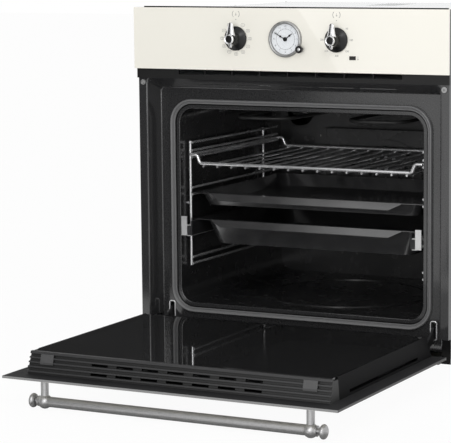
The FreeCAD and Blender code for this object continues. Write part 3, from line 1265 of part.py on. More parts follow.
clip = body("glass_clip")
outline = sketch(clip, "YZ", "clip_across - clip_width / 2")
CLIP_FOOT = 0.45
CLIP_BEND = 0.55
CLIP_HEAD = 0.9
polygon(outline, [rail_point(CLIP_FOOT, "ridge_rise"), rail_point(CLIP_HEAD, "ridge_rise"),
                  rail_point(CLIP_HEAD, "ridge_rise + clip_rise"),
                  rail_point(CLIP_BEND, "ridge_rise + clip_rise")])
pad(clip, outline, "clip_width")
glass_clips = mirrored_pair("glass_clips", clip)

# Hinge housings: steel channels in the door that run on the arms' pins

housing = body("hinge_housing")
outline = sketch(housing, "YZ", "hinge_across - housing_width / 2")
channel_back = DOOR_GLASS_BACK + " + housing_depth"
ear = "arm_end / 2"
polygon(outline, [(DOOR_GLASS_BACK, "hinge_height"), (HINGE_Y + " + " + ear, "hinge_height"),
                  (channel_back, "housing_open"), (channel_back, "housing_head"),
                  (DOOR_GLASS_BACK, "housing_head")])
pad(housing, outline, "housing_width")
eye = sketch(housing, "YZ", "hinge_across - housing_width / 2")
circle(eye, HINGE_Y, "hinge_height", "2 * (hinge_inset - door_glass)")
pad(housing, eye, "housing_width")
channel = sketch(housing, "YZ", "hinge_across + housing_width / 2 - housing_wall")
channel_front = DOOR_GLASS_BACK + " - cut_margin"
channel_rear = channel_back + " + cut_margin"
channel_head = "housing_head + cut_margin"
web_back = DOOR_GLASS_BACK + " + housing_wall"
polygon(channel, [(channel_front, "0"), (channel_rear, "0"), (channel_rear, channel_head),
                  (web_back, channel_head), (web_back, "housing_open"), (channel_front, "housing_open")])
pocket(housing, channel, "housing_width - 2 * housing_wall")
bore = sketch(housing, "YZ", "hinge_across + housing_width / 2")
circle(bore, HINGE_Y, "hinge_height", "hinge_pin + 2 * running_fit")
pocket(housing, bore, "housing_width")
hinge_housings = mirrored_pair("hinge_housings", housing)

# Handle: a turned bar through two ball posts, closed by finials

HANDLE_Y = "(-front_proud - handle_proud)"
HANDLE_Z = "(door_head - handle_below)"


post = body("handle_post")
revolve(post, [("0", FACE), ("handle_foot / 2", FACE), ("handle_foot / 2", FACE + " - handle_foot_thick"),
               ("handle_post / 2", FACE + " - 2 * handle_foot_thick"), ("handle_post / 2", HANDLE_Y),
               ("0", HANDLE_Y)], "V_Axis")
ball = post.newObject("PartDesign::AdditiveSphere", "ball")
ball.setExpression("Radius", bound("handle_ball / 2"))
ball.setExpression("Placement.Base.y", bound(HANDLE_Y))
doc.recompute()
bore = sketch(post, "YZ", "handle_ball")
circle(bore, HANDLE_Y, "0", "handle_bar_diameter + 2 * handle_fit")
pocket(post, bore, "2 * handle_ball")
place(post, "handle_post_across", "0", HANDLE_Z)
handle_posts = mirrored_pair("handle_posts", post)

handle_bar = body("handle_bar")
BAR_END = "(handle_post_across + handle_ball / 2)"
outline = sketch(handle_bar, "YZ", "-" + BAR_END)
circle(outline, HANDLE_Y, HANDLE_Z, "handle_bar_diameter")
pad(handle_bar, outline, "2 * " + BAR_END)

finial = body("handle_finial")
KNOB_STEPS = 14
neck_meet = math.degrees(math.asin(value("finial_neck / finial_diameter")))
turned = [("0", "0"), ("0", "finial_neck / 2")]
for step in range(KNOB_STEPS + 1):
    angle = neck_meet + (180 - neck_meet) * step / KNOB_STEPS
    turned.append(("finial_length - finial_thick / 2 * (1 + cos(%.3f deg))" % angle,
                   "finial_diameter / 2 * sin(%.3f deg)" % angle))
revolve(finial, turned, "H_Axis")
place(finial, BAR_END, HANDLE_Y, HANDLE_Z)
handle_finials = mirrored_pair("handle_finials", finial)

for piece in (top_rail, bottom_rail, glass_clips, hinge_housings, handle_posts, handle_bar, handle_finials):
    keep_door(piece)

doc.recompute()

# Every object has to be sound before anything is written
for item in doc.Objects:
    if "Invalid" in item.State or "Error" in item.State:
        raise RuntimeError("%s did not build: %s" % (item.Label, item.State))
for node in NODES:
    if node.Shape.isNull() or not node.Shape.isValid() or not node.Shape.Solids:
        raise RuntimeError(node.Label + " has no sound solid")

os.makedirs("parts", exist_ok=True)
for node in NODES:
    node.Shape.exportStep("parts/%s.step" % node.Label)
print(len(NODES), "nodes written")
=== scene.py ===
import math

import bmesh
import bpy
from mathutils import Matrix, Vector


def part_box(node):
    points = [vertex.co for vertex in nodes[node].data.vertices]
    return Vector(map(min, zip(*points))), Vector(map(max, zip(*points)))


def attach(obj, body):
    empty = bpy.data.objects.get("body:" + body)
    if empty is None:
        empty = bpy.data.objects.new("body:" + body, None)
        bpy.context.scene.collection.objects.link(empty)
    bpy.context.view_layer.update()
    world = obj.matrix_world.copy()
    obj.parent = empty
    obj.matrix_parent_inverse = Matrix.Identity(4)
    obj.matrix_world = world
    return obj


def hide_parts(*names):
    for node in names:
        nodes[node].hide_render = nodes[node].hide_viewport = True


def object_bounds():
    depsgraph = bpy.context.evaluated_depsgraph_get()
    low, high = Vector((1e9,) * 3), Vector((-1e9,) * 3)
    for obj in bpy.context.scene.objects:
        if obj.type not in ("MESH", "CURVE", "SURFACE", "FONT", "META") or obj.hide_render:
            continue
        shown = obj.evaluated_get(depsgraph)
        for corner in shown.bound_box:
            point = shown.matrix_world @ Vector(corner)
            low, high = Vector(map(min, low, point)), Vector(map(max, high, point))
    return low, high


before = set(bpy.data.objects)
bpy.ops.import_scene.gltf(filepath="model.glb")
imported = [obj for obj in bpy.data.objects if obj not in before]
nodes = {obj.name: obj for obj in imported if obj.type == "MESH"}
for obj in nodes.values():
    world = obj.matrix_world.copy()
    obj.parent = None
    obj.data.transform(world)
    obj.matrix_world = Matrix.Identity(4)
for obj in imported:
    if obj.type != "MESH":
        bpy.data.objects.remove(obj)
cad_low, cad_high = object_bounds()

# Studio: a pale floor just under the handle and an even white surround, lit by two softboxes.
# Dark cloths at the left, in front, behind and overhead, and a grey card under the handle, give the black
# enamel, the glass and the metal their depth. They show in reflections only.
MM = 0.001
MATHS, VECTOR_MATHS = "ShaderNodeMath", "ShaderNodeVectorMath"
FLOOR_GAP = 2 * MM
FLOOR_PLAN = [(-15, -15), (15, -15), (15, 15), (-15, 15)]
FLOOR_TONE, FLOOR_MATT, FLOOR_GLOW = 0.93, 0.9, 0.95
AMBIENT = 0.63
LAMPS = [("key_softbox", Vector((1.5, -2.4, 2.3)), (1.4, 1.0), 18),
         ("front_softbox", Vector((0.5, -3.2, 0.8)), (1.4, 1.4), 30)]
LAMP_TARGET = Vector((0, 0, 0.25))
scene = bpy.context.scene
scene.view_settings.view_transform = "Standard"
floor_level = cad_low.z - FLOOR_GAP


def grey(tone):
    return (tone, tone, tone)


def link(tree, source, target):
    tree.links.new(source, target)


def reckoned(tree, kind, operation, *sources):
    """A math node whose inputs are linked to the sources, or set to them where they are plain amounts."""
    node = tree.nodes.new(kind)
    node.operation = operation
    for entry, source in zip(node.inputs, sources):
        if isinstance(source, bpy.types.NodeSocket):
            link(tree, source, entry)
        else:
            entry.default_value = source
    return node


def put(name, data):
    """A new object in the scene, at the origin."""
    thing = bpy.data.objects.new(name, data)
    scene.collection.objects.link(thing)
    return thing


def flat_piece(name, corners):
    mesh = bpy.data.meshes.new(name)
    mesh.from_pydata(corners, [], [range(len(corners))])
    return put(name, mesh)


def laid(name, outline, height):
    return flat_piece(name, [(x, y, height) for x, y in outline])


def hung(name, outline, depth):
    return flat_piece(name, [(x, depth, z) for x, z in outline])


def seen_rays(tree):
    """1 for the rays that show a surface: those from the camera, in reflections and through glass."""
    rays = tree.nodes.new("ShaderNodeLightPath")
    shown = rays.outputs["Is Camera Ray"]
    for kind in ("Is Glossy Ray", "Is Transmission Ray"):
        shown = reckoned(tree, MATHS, "MAXIMUM", shown, rays.outputs[kind]).outputs["Value"]
    return shown


floor = laid("floor", FLOOR_PLAN, floor_level)
pale = bpy.data.materials.new("pale_floor")
pale.use_nodes = True
pale_tree = pale.node_tree
matt = pale_tree.nodes["Principled BSDF"]
matt.inputs["Base Color"].default_value = (*grey(FLOOR_TONE), 1)
matt.inputs["Roughness"].default_value = FLOOR_MATT
glow = pale_tree.nodes.new("ShaderNodeEmission")
glow_share = reckoned(pale_tree, MATHS, "MULTIPLY", seen_rays(pale_tree), FLOOR_GLOW)
either_way = pale_tree.nodes.new("ShaderNodeMixShader")
link(pale_tree, glow_share.outputs["Value"], either_way.inputs["Fac"])
link(pale_tree, matt.outputs["BSDF"], either_way.inputs[1])
link(pale_tree, glow.outputs["Emission"], either_way.inputs[2])
link(pale_tree, either_way.outputs["Shader"], pale_tree.nodes["Material Output"].inputs["Surface"])
floor.data.materials.append(pale)

cloth_low = floor_level + MM
FRONT_DEPTH, REAR_DEPTH, OVERHEAD = -2.5, 1.0, 1.5
FRONT_OUTLINE = [(-4.0, cloth_low), (-0.83, cloth_low), (-0.83, 0.17), (-1.16, 0.19), (-1.16, 0.275),
                 (-1.01, 0.285), (-1.163, 0.5), (-1.3, 1.7), (-1.4, 2.6), (-4.0, 2.6)]
FLOOR_OUTLINE = [(-4.0, -2.5), (-0.86, -2.5), (-0.3, -0.6), (-4.0, -0.6)]
REAR_OUTLINE = [(-4.0, cloth_low), (-0.4, cloth_low), (-0.4, 0.45), (-4.0, 0.45)]
SLOPE_CORNERS = [(-0.17, -1.1, cloth_low), (-0.03, -1.1, cloth_low), (0.4, -2.5, 0.6), (-0.2, -2.5, 0.6)]
TOP_OUTLINE = [(-3.0, -1.2), (-0.62, -1.2), (-0.62, 0.2), (-3.0, 0.2)]
CARD_OUTLINE = [(-0.35, -0.47), (0.35, -0.47), (0.35, -0.4), (-0.35, -0.4)]
DARK_CLOTH, DIM_CLOTH, GREY_CARD = 0.016, 0.1, 0.4
CLOTH_MATT = 0.95
front_cloth = hung("front_cloth", FRONT_OUTLINE, FRONT_DEPTH)
floor_cloth = laid("floor_cloth", FLOOR_OUTLINE, cloth_low)
rear_cloth = hung("rear_cloth", REAR_OUTLINE, REAR_DEPTH)
slope_cloth = flat_piece("slope_cloth", SLOPE_CORNERS)
top_cloth = laid("top_cloth", TOP_OUTLINE, OVERHEAD)
handle_card = laid("handle_card", CARD_OUTLINE, cloth_low)
for cloth, tone in ((front_cloth, DARK_CLOTH), (floor_cloth, DARK_CLOTH), (rear_cloth, DARK_CLOTH),
                    (slope_cloth, DARK_CLOTH), (top_cloth, DIM_CLOTH), (handle_card, GREY_CARD)):
    weave = bpy.data.materials.new(cloth.name)
    weave.use_nodes = True
    fibre = weave.node_tree.nodes["Principled BSDF"]
    fibre.inputs["Base Color"].default_value = (*grey(tone), 1)
    fibre.inputs["Roughness"].default_value = CLOTH_MATT
    cloth.data.materials.append(weave)
    cloth.visible_camera = False
    cloth.visible_diffuse = False
    cloth.visible_shadow = False

world = bpy.data.worlds.new("white_surround")
scene.world = world
world.use_nodes = True
sky = world.node_tree.nodes["Background"]
sky.inputs["Color"].default_value = (1, 1, 1, 1)
level = world.node_tree.nodes.new("ShaderNodeMapRange")
level.inputs["To Min"].default_value = AMBIENT
link(world.node_tree, seen_rays(world.node_tree), level.inputs["Value"])
link(world.node_tree, level.outputs["Result"], sky.inputs["Strength"])

for lamp_name, place, size, power in LAMPS:
    softbox = bpy.data.lights.new(lamp_name, "AREA")
    softbox.shape = "RECTANGLE"
    softbox.size, softbox.size_y = size
    softbox.energy = power
    lamp = put(lamp_name, softbox)
    lamp.location = place
    lamp.rotation_mode = "QUATERNION"
    lamp.rotation_quaternion = (LAMP_TARGET - place).to_track_quat("-Z", "Y")

# Camera: to the right of the oven and just above its top, where the photograph was taken.
# Its place, turn and lens come from a fit to the corners of the panel and the door.
QUARTER_TURN = math.pi / 2
CAMERA_PLACE = Vector((1.5691, -3.2508, 0.7170))
CAMERA_TURN = math.radians(27.60)
CAMERA_DIP = math.radians(7.72)
CAMERA_ROLL = math.radians(-0.559)
SENSOR = 36
LENS = 167.93
camera_data = bpy.data.cameras.new("photo_camera")
camera_data.sensor_width = SENSOR
camera_data.lens = LENS
camera = put("photo_camera", camera_data)
camera.location = CAMERA_PLACE
camera.rotation_mode = "QUATERNION"
heading = Matrix.Rotation(CAMERA_TURN, 3, "Z") @ Matrix.Rotation(QUARTER_TURN - CAMERA_DIP, 3, "X")
camera.rotation_quaternion = (heading @ Matrix.Rotation(CAMERA_ROLL, 3, "Z")).to_quaternion()
scene.camera = camera

# Casing: folded galvanised sheet, screwed together round the insulated cavity. The zinc shows its crystals;
# the top sheet's zinc is made lighter, as painted light from above.
# The side flanges, the sill and the top's front flange, which show round the front, are painted black.
VECTOR, FLOAT = "NodeSocketVector", "NodeSocketFloat"
GRAIN_LOW, GRAIN_HIGH = 0.3, 0.7
GRAIN_DEPTH = MM / 10
FAR = 1.0


def shader_group(name, inputs):
    """A shader node group with named inputs that puts out a mask, and its two end nodes."""
    group = bpy.data.node_groups.new(name, "ShaderNodeTree")
    for label, kind, start in inputs:
        group.interface.new_socket(label, in_out="INPUT", socket_type=kind).default_value = start
    group.interface.new_socket("Mask", in_out="OUTPUT", socket_type=FLOAT)
    return group, group.nodes.new("NodeGroupInput"), group.nodes.new("NodeGroupOutput")


grain_group, grain_in, grain_out = shader_group(
    "surface_grain", [("Vector", VECTOR, (0, 0, 0)), ("Stretch", VECTOR, (1, 1, 1)), ("Scale", FLOAT, 40.0),
                      ("Detail", FLOAT, 4.0)])
stretched = reckoned(grain_group, VECTOR_MATHS, "MULTIPLY", grain_in.outputs["Vector"],
                     grain_in.outputs["Stretch"])
cloud = grain_group.nodes.new("ShaderNodeTexNoise")
contrast = grain_group.nodes.new("ShaderNodeMapRange")
contrast.inputs["From Min"].default_value = GRAIN_LOW
contrast.inputs["From Max"].default_value = GRAIN_HIGH
link(grain_group, stretched.outputs["Vector"], cloud.inputs["Vector"])
link(grain_group, grain_in.outputs["Scale"], cloud.inputs["Scale"])
link(grain_group, grain_in.outputs["Detail"], cloud.inputs["Detail"])
link(grain_group, cloud.outputs["Fac"], contrast.inputs["Value"])
link(grain_group, contrast.outputs["Result"], grain_out.inputs["Mask"])

cell_group, cell_in, cell_out = shader_group(
    "crystal_cells", [("Vector", VECTOR, (0, 0, 0)), ("Scale", FLOAT, 60.0)])
cells = cell_group.nodes.new("ShaderNodeTexVoronoi")
cell_tone = cell_group.nodes.new("ShaderNodeSeparateColor")
link(cell_group, cell_in.outputs["Vector"], cells.inputs["Vector"])
link(cell_group, cell_in.outputs["Scale"], cells.inputs["Scale"])
link(cell_group, cells.outputs["Color"], cell_tone.inputs["Color"])
link(cell_group, cell_tone.outputs["Red"], cell_out.inputs["Mask"])

slab_group, slab_in, slab_out = shader_group(
    "inside_slab", [("Vector", VECTOR, (0, 0, 0)), ("Low", VECTOR, (-FAR, -FAR, -FAR)),
                    ("High", VECTOR, (FAR, FAR, FAR))])
above = reckoned(slab_group, VECTOR_MATHS, "SUBTRACT", slab_in.outputs["Vector"], slab_in.outputs["Low"])
below = reckoned(slab_group, VECTOR_MATHS, "SUBTRACT", slab_in.outputs["High"], slab_in.outputs["Vector"])
least = reckoned(slab_group, VECTOR_MATHS, "MINIMUM", above.outputs["Vector"], below.outputs["Vector"])
margins = slab_group.nodes.new("ShaderNodeSeparateXYZ")
link(slab_group, least.outputs["Vector"], margins.inputs["Vector"])
least_xy = reckoned(slab_group, MATHS, "MINIMUM", margins.outputs["X"], margins.outputs["Y"])
least_all = reckoned(slab_group, MATHS, "MINIMUM", least_xy.outputs["Value"], margins.outputs["Z"])
inside = reckoned(slab_group, MATHS, "GREATER_THAN", least_all.outputs["Value"], 0)
link(slab_group, inside.outputs["Value"], slab_out.inputs["Mask"])


def add_group(tree, group, **values):
    node = tree.nodes.new("ShaderNodeGroup")
    node.node_tree = group
    for label, amount in values.items():
        node.inputs[label].default_value = amount
    return node


def finish(name, dark, light, gloss, scale, stretch=(1, 1, 1), bump=0.0, group=grain_group, **sockets):
    """A surface whose tone, roughness and fine relief follow one grain.

    gloss is the least and the most roughness, and sockets are the shader's own constants.
    """
    surface = bpy.data.materials.new(name)
    surface.use_nodes = True
    tree = surface.node_tree
    shader = tree.nodes["Principled BSDF"]
    for label, amount in sockets.items():
        shader.inputs[label.replace("_", " ")].default_value = amount
    spot = tree.nodes.new("ShaderNodeTexCoord")
    grain = add_group(tree, group, Scale=scale)
    if group is grain_group:
        grain.inputs["Stretch"].default_value = stretch
    link(tree, spot.outputs["Object"], grain.inputs["Vector"])
    tone = tree.nodes.new("ShaderNodeValToRGB")
    tone.color_ramp.elements[0].color = (*dark, 1)
    tone.color_ramp.elements[1].color = (*light, 1)
    link(tree, grain.outputs["Mask"], tone.inputs["Fac"])
    link(tree, tone.outputs["Color"], shader.inputs["Base Color"])
    polish = tree.nodes.new("ShaderNodeMapRange")
    polish.inputs["To Min"].default_value, polish.inputs["To Max"].default_value = gloss
    link(tree, grain.outputs["Mask"], polish.inputs["Value"])
    link(tree, polish.outputs["Result"], shader.inputs["Roughness"])
    if bump:
        relief = tree.nodes.new("ShaderNodeBump")
        relief.inputs["Strength"].default_value = bump
        relief.inputs["Distance"].default_value = GRAIN_DEPTH
        link(tree, grain.outputs["Mask"], relief.inputs["Height"])
        link(tree, relief.outputs["Normal"], shader.inputs["Normal"])
    return surface


def cover(material, socket, colour, mask):
    """Lays another colour over what feeds the socket, as far as the mask goes."""
    tree = material.node_tree
    fed = tree.nodes["Principled BSDF"].inputs[socket]
    layer = tree.nodes.new("ShaderNodeMix")
    layer.data_type = "RGBA"
    colours = {entry.name: entry for entry in layer.inputs if entry.type == "RGBA"}
    colours["B"].default_value = (*colour, 1)
    link(tree, fed.links[0].from_socket, colours["A"])
    link(tree, mask, layer.inputs["Factor"])
    link(tree, next(entry for entry in layer.outputs if entry.type == "RGBA"), fed)


def paint_over(material, colour, socket="Base Color", left=-FAR, right=FAR, front=-FAR, back=FAR, low=-FAR,
               high=FAR):
    """Another colour inside a box, as paint or print. A side that isn't given is far outside the oven."""
    tree = material.node_tree
    box = add_group(tree, slab_group, Low=(left, front, low), High=(right, back, high))
    link(tree, tree.nodes.new("ShaderNodeTexCoord").outputs["Object"], box.inputs["Vector"])
    cover(material, socket, colour, box.outputs["Mask"])


def dress(material, *names):
    for name in names:
        for slot in nodes[name].material_slots:
            slot.material = material


FLANGE_START = 278.6 * MM
SILL_BACK, SILL_TOP = 30 * MM, 30 * MM
CREST_BACK, CREST_LOW = 0.5 * MM, 587 * MM
FLANGE_BLACK, CREST_BLACK = grey(0.015), grey(0.02)
zinc = finish("galvanised_sheet", dark=(0.46, 0.47, 0.48), light=(0.57, 0.58, 0.59), gloss=(0.34, 0.46),
              scale=80, group=cell_group, Metallic=1.0)
paint_over(zinc, FLANGE_BLACK, left=FLANGE_START)
paint_over(zinc, FLANGE_BLACK, right=-FLANGE_START)
paint_over(zinc, FLANGE_BLACK, back=SILL_BACK, high=SILL_TOP)
dress(zinc, "casing_bottom", "casing_left", "casing_right", "casing_rear", "blower_housing")
# Painted light: the top sheet takes a lighter copy of the zinc, for the light falling on it from above.
lit_zinc_top = finish("galvanised_top", dark=(0.66, 0.67, 0.68), light=(0.75, 0.76, 0.77), gloss=(0.12, 0.2),
                  scale=70, group=cell_group, Metallic=1.0)
paint_over(lit_zinc_top, CREST_BLACK, back=CREST_BACK, low=CREST_LOW)
dress(lit_zinc_top, "casing_top")

# Casing screws: pan-head screws with a cross recess, set along the folded edges.
# One Geometry Nodes tree makes the head and sets it on every point.
SCREW_RADIUS, SCREW_HEIGHT, SCREW_RECESS = 3.4 * MM, 1.8 * MM, 0.9 * MM
SCREW_SIDES, SCREW_RINGS = 20, 12
FACING_FRONT, FACING_REAR = (QUARTER_TURN, 0, 0), (-QUARTER_TURN, 0, 0)
FACING_RIGHT, FACING_LEFT = (0, QUARTER_TURN, 0), (0, -QUARTER_TURN, 0)
FACING_UP = (0, 0, 0)
EDGE_INSET = 12 * MM
REAR_LEVELS = (0.03, 0.2, 0.385, 0.555)
REAR_ACROSS, REAR_ENDS = (-0.09, 0.09), (0.014, 0.571)
SIDE_DEPTHS, SIDE_LEVELS = (0.06, 0.3, 0.52), (0.02, 0.572)
TOP_ACROSS, TOP_SUNK = (-0.262, 0.262), 0.8 * MM


def screw_tree():
    """A domed head less a cross of two bars, set on each point. Its sizes, turn and finish are inputs."""
    tree = bpy.data.node_groups.new("screw_heads", "GeometryNodeTree")
    for label, kind in (("Points", "Geometry"), ("Radius", "Float"), ("Height", "Float"),
                        ("Recess", "Float"), ("Turn", "Rotation"), ("Finish", "Material")):
        tree.interface.new_socket(label, in_out="INPUT", socket_type="NodeSocket" + kind)
    tree.interface.new_socket("Heads", in_out="OUTPUT", socket_type="NodeSocketGeometry")
    start = tree.nodes.new("NodeGroupInput")
    end = tree.nodes.new("NodeGroupOutput")
    crown = tree.nodes.new("GeometryNodeMeshUVSphere")
    crown.inputs["Segments"].default_value = SCREW_SIDES
    crown.inputs["Rings"].default_value = SCREW_RINGS
    squash = reckoned(tree, MATHS, "DIVIDE", start.outputs["Height"], start.outputs["Radius"])
    flat = tree.nodes.new("ShaderNodeCombineXYZ")
    flat.inputs["X"].default_value = 1
    flat.inputs["Y"].default_value = 1
    flatten = tree.nodes.new("GeometryNodeTransform")
    link(tree, start.outputs["Radius"], crown.inputs["Radius"])
    link(tree, squash.outputs["Value"], flat.inputs["Z"])
    link(tree, crown.outputs["Mesh"], flatten.inputs["Geometry"])
    link(tree, flat.outputs["Vector"], flatten.inputs["Scale"])
    lift = tree.nodes.new("ShaderNodeCombineXYZ")
    link(tree, start.outputs["Height"], lift.inputs["Z"])
    carve = tree.nodes.new("GeometryNodeMeshBoolean")
    carve.operation = "DIFFERENCE"
    link(tree, flatten.outputs["Geometry"], carve.inputs["Mesh 1"])
    for sides in (("Radius", "Recess", "Height"), ("Recess", "Radius", "Height")):
        size = tree.nodes.new("ShaderNodeCombineXYZ")
        bar = tree.nodes.new("GeometryNodeMeshCube")
        raised = tree.nodes.new("GeometryNodeTransform")
        for axis, side in zip("XYZ", sides):
            link(tree, start.outputs[side], size.inputs[axis])
        link(tree, size.outputs["Vector"], bar.inputs["Size"])
        link(tree, bar.outputs["Mesh"], raised.inputs["Geometry"])
        link(tree, lift.outputs["Vector"], raised.inputs["Translation"])
        link(tree, raised.outputs["Geometry"], carve.inputs["Mesh 2"])
    spread = tree.nodes.new("GeometryNodeInstanceOnPoints")
    real = tree.nodes.new("GeometryNodeRealizeInstances")
    coat = tree.nodes.new("GeometryNodeSetMaterial")
    link(tree, start.outputs["Points"], spread.inputs["Points"])
    link(tree, carve.outputs["Mesh"], spread.inputs["Instance"])
    link(tree, start.outputs["Turn"], spread.inputs["Rotation"])
    link(tree, spread.outputs["Instances"], real.inputs["Geometry"])
    link(tree, real.outputs["Geometry"], coat.inputs["Geometry"])
    link(tree, start.outputs["Finish"], coat.inputs["Material"])
    link(tree, coat.outputs["Geometry"], end.inputs["Heads"])
    return tree


def as_shown(piece):
    """A plain mesh of the piece as its modifiers make it."""
    bpy.context.view_layer.update()
    return bpy.data.meshes.new_from_object(piece.evaluated_get(bpy.context.evaluated_depsgraph_get()))


def grow(piece, tree, **values):
    """Makes the piece what its node tree makes of it, with the tree's named inputs set."""
    modifier = piece.modifiers.new("grown", "NODES")
    modifier.node_group = tree
    for item in tree.interface.items_tree:
        if item.in_out == "INPUT" and item.name in values:
            modifier[item.identifier] = values[item.name]
    mesh = as_shown(piece)
    piece.modifiers.remove(modifier)
    piece.data = mesh


def settle(piece, body, replaced=()):
    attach(piece, body)
    for node in replaced:
        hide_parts(node)


screw_heads = screw_tree()
zinc_screw = finish("zinc_screw", dark=(0.5, 0.5, 0.48), light=(0.66, 0.66, 0.62), gloss=(0.25, 0.4),
                    scale=300, Metallic=1.0)


def screws(name, points, facing):
    mesh = bpy.data.meshes.new(name)
    mesh.from_pydata(points, [], [])
    piece = put(name, mesh)
    grow(piece, screw_heads, Radius=SCREW_RADIUS, Height=SCREW_HEIGHT, Recess=SCREW_RECESS, Turn=facing,
         Finish=zinc_screw)
    settle(piece, "oven_body")


rear_low, rear_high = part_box("casing_rear")
rear_edges = (rear_low.x + EDGE_INSET, rear_high.x - EDGE_INSET)
screws("rear_screws", [(x, rear_high.y, z) for x in rear_edges for z in REAR_LEVELS]
       + [(x, rear_high.y, z) for x in REAR_ACROSS for z in REAR_ENDS], FACING_REAR)
side_points = [(y, z) for y in SIDE_DEPTHS for z in SIDE_LEVELS]
screws("right_side_screws", [(rear_high.x, y, z) for y, z in side_points], FACING_RIGHT)
screws("left_side_screws", [(-rear_high.x, y, z) for y, z in side_points], FACING_LEFT)
screws("top_screws", [(x, y, CREST_LOW - TOP_SUNK) for x in TOP_ACROSS for y in SIDE_DEPTHS], FACING_UP)

# Insulation: a blanket of yellow glass wool, wrapped round the cavity shell.
# The casing closes over it and holds it.
wool = finish("glass_wool", dark=(0.45, 0.38, 0.2), light=(0.7, 0.62, 0.38), gloss=(0.9, 1.0), scale=120,
              bump=0.8)
dress(wool, "insulation")

# Terminal box and the closed cases behind the panel: black moulded plastic with a fine spark-eroded skin.
# The box clips to the rear sheet and has an open gland hole.
black_moulding = finish("black_moulding", dark=(0.012, 0.012, 0.013), light=(0.022, 0.022, 0.024),
                        gloss=(0.42, 0.55), scale=900, bump=0.2)
dress(black_moulding, "terminal_box", "function_switch", "thermostat", "clock_movement")

# Cavity: deep-drawn steel under black vitreous enamel, fired to a soft gloss.
# A pressed fan cover is screwed to the rear wall at its corners, and a glass lens covers the lamp.
COVER_INSET = 14 * MM
cavity_enamel = finish("cavity_enamel", dark=(0.014, 0.014, 0.0145), light=(0.02, 0.02, 0.0205),
                       gloss=(0.2, 0.3), scale=30, bump=0.03, Specular_IOR_Level=0.5)
dress(cavity_enamel, "cavity_shell", "cavity_rear_wall", "fan_cover")
cover_low, cover_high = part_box("fan_cover")
cover_points = [(x, cover_low.y, z) for x in (cover_low.x + COVER_INSET, cover_high.x - COVER_INSET)
                for z in (cover_low.z + COVER_INSET, cover_high.z - COVER_INSET)]
screws("fan_cover_screws", cover_points, FACING_FRONT)
lens_glass = finish("lens_glass", dark=(0.86, 0.88, 0.88), light=(0.95, 0.96, 0.96), gloss=(0.04, 0.1),
                    scale=150, Transmission_Weight=1.0, IOR=1.45)
dress(lens_glass, "lamp_lens")

# Heating tubes, motors, fan and blower: heat-scaled alloy tube and plain pressed steel.
# The knob spindles are of the same bright steel, and the hinges and runner slides are blacked.
scaled_tube = finish("heated_tube", dark=grey(0.02), light=grey(0.05), gloss=(0.4, 0.6), scale=60,
                     Metallic=0.4)
dress(scaled_tube, "grill_element", "ring_element")
plain_steel = finish("plain_steel", dark=(0.4, 0.4, 0.41), light=(0.55, 0.55, 0.56), gloss=(0.3, 0.45),
                     scale=200, stretch=(1, 1, 12), Metallic=1.0)
dress(plain_steel, "function_spindle", "thermostat_spindle", "convection_fan", "fan_motor",
      "blower_motor", "blower_impeller")
dark_steel = finish("blacked_steel", dark=(0.03, 0.03, 0.032), light=(0.06, 0.06, 0.062),
                    gloss=(0.35, 0.5), scale=150, Metallic=0.8)
dress(dark_steel, "hinge_arms", "hinge_housings", "runner_slides")

# Front frame: one black enamelled pressing with a recess for the door, drawn from the solid.
# The edges of its mouth, recess, air slits and opening are rounded, as the press leaves them.
# The vent strip is a black moulding clipped over its head.
ROLL, FOOT_ROLL, SLIT_LIP, OPENING_LIP = 2.4 * MM, 2 * MM, 0.6 * MM, 1.1 * MM
ROUND_STEPS, ROUND_PROFILE = 4, 0.5
MERGE, NEAR = MM / 1000, 0.05 * MM
FLAT_BEND, SHARP_BEND = math.radians(1), math.radians(25)
SMOOTH_LIMIT = math.radians(35)
MOUTH_SIDE, MOUTH_TOP = 278.3 * MM, 471.3 * MM
RECESS_FLOOR = 25 * MM
SLIT_LEVEL = 440 * MM
OPENING_SIDE, OPENING_LOW, OPENING_HIGH = 234 * MM, 65.5 * MM, 415.5 * MM
rim_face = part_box("front_frame")[0].y
frame_enamel = finish("frame_enamel", dark=(0.025, 0.025, 0.026), light=(0.031, 0.031, 0.032),
                      gloss=(0.1, 0.14), scale=500, bump=0.03, Specular_IOR_Level=0.95)


def at_mouth(bend, ends):
    return bend > SHARP_BEND and all(abs(end.y - rim_face) < NEAR and abs(end.x) < MOUTH_SIDE
                                     and end.z < MOUTH_TOP for end in ends)


def at_recess_foot(bend, ends):
    return bend < -SHARP_BEND and all(abs(end.y - RECESS_FLOOR) < NEAR for end in ends)


def at_slits(bend, ends):
    return bend > SHARP_BEND and all(abs(end.y - RECESS_FLOOR) < NEAR and end.z > SLIT_LEVEL
                                     for end in ends)


def at_opening(bend, ends):
    return bend > SHARP_BEND and all(abs(end.y - RECESS_FLOOR) < NEAR and abs(end.x) < OPENING_SIDE
                                     and OPENING_LOW < end.z < OPENING_HIGH for end in ends)


def placed(name, form, material, smooth=SMOOTH_LIMIT):
    """A piece of one finish from a bmesh, smooth up to its sharp edges."""
    for face in form.faces:
        face.smooth = True
        face.material_index = 0
    mesh = bpy.data.meshes.new(name)
    form.to_mesh(mesh)
    form.free()
    mesh.materials.append(material)
    mesh.set_sharp_from_angle(angle=smooth)
    return put(name, mesh)


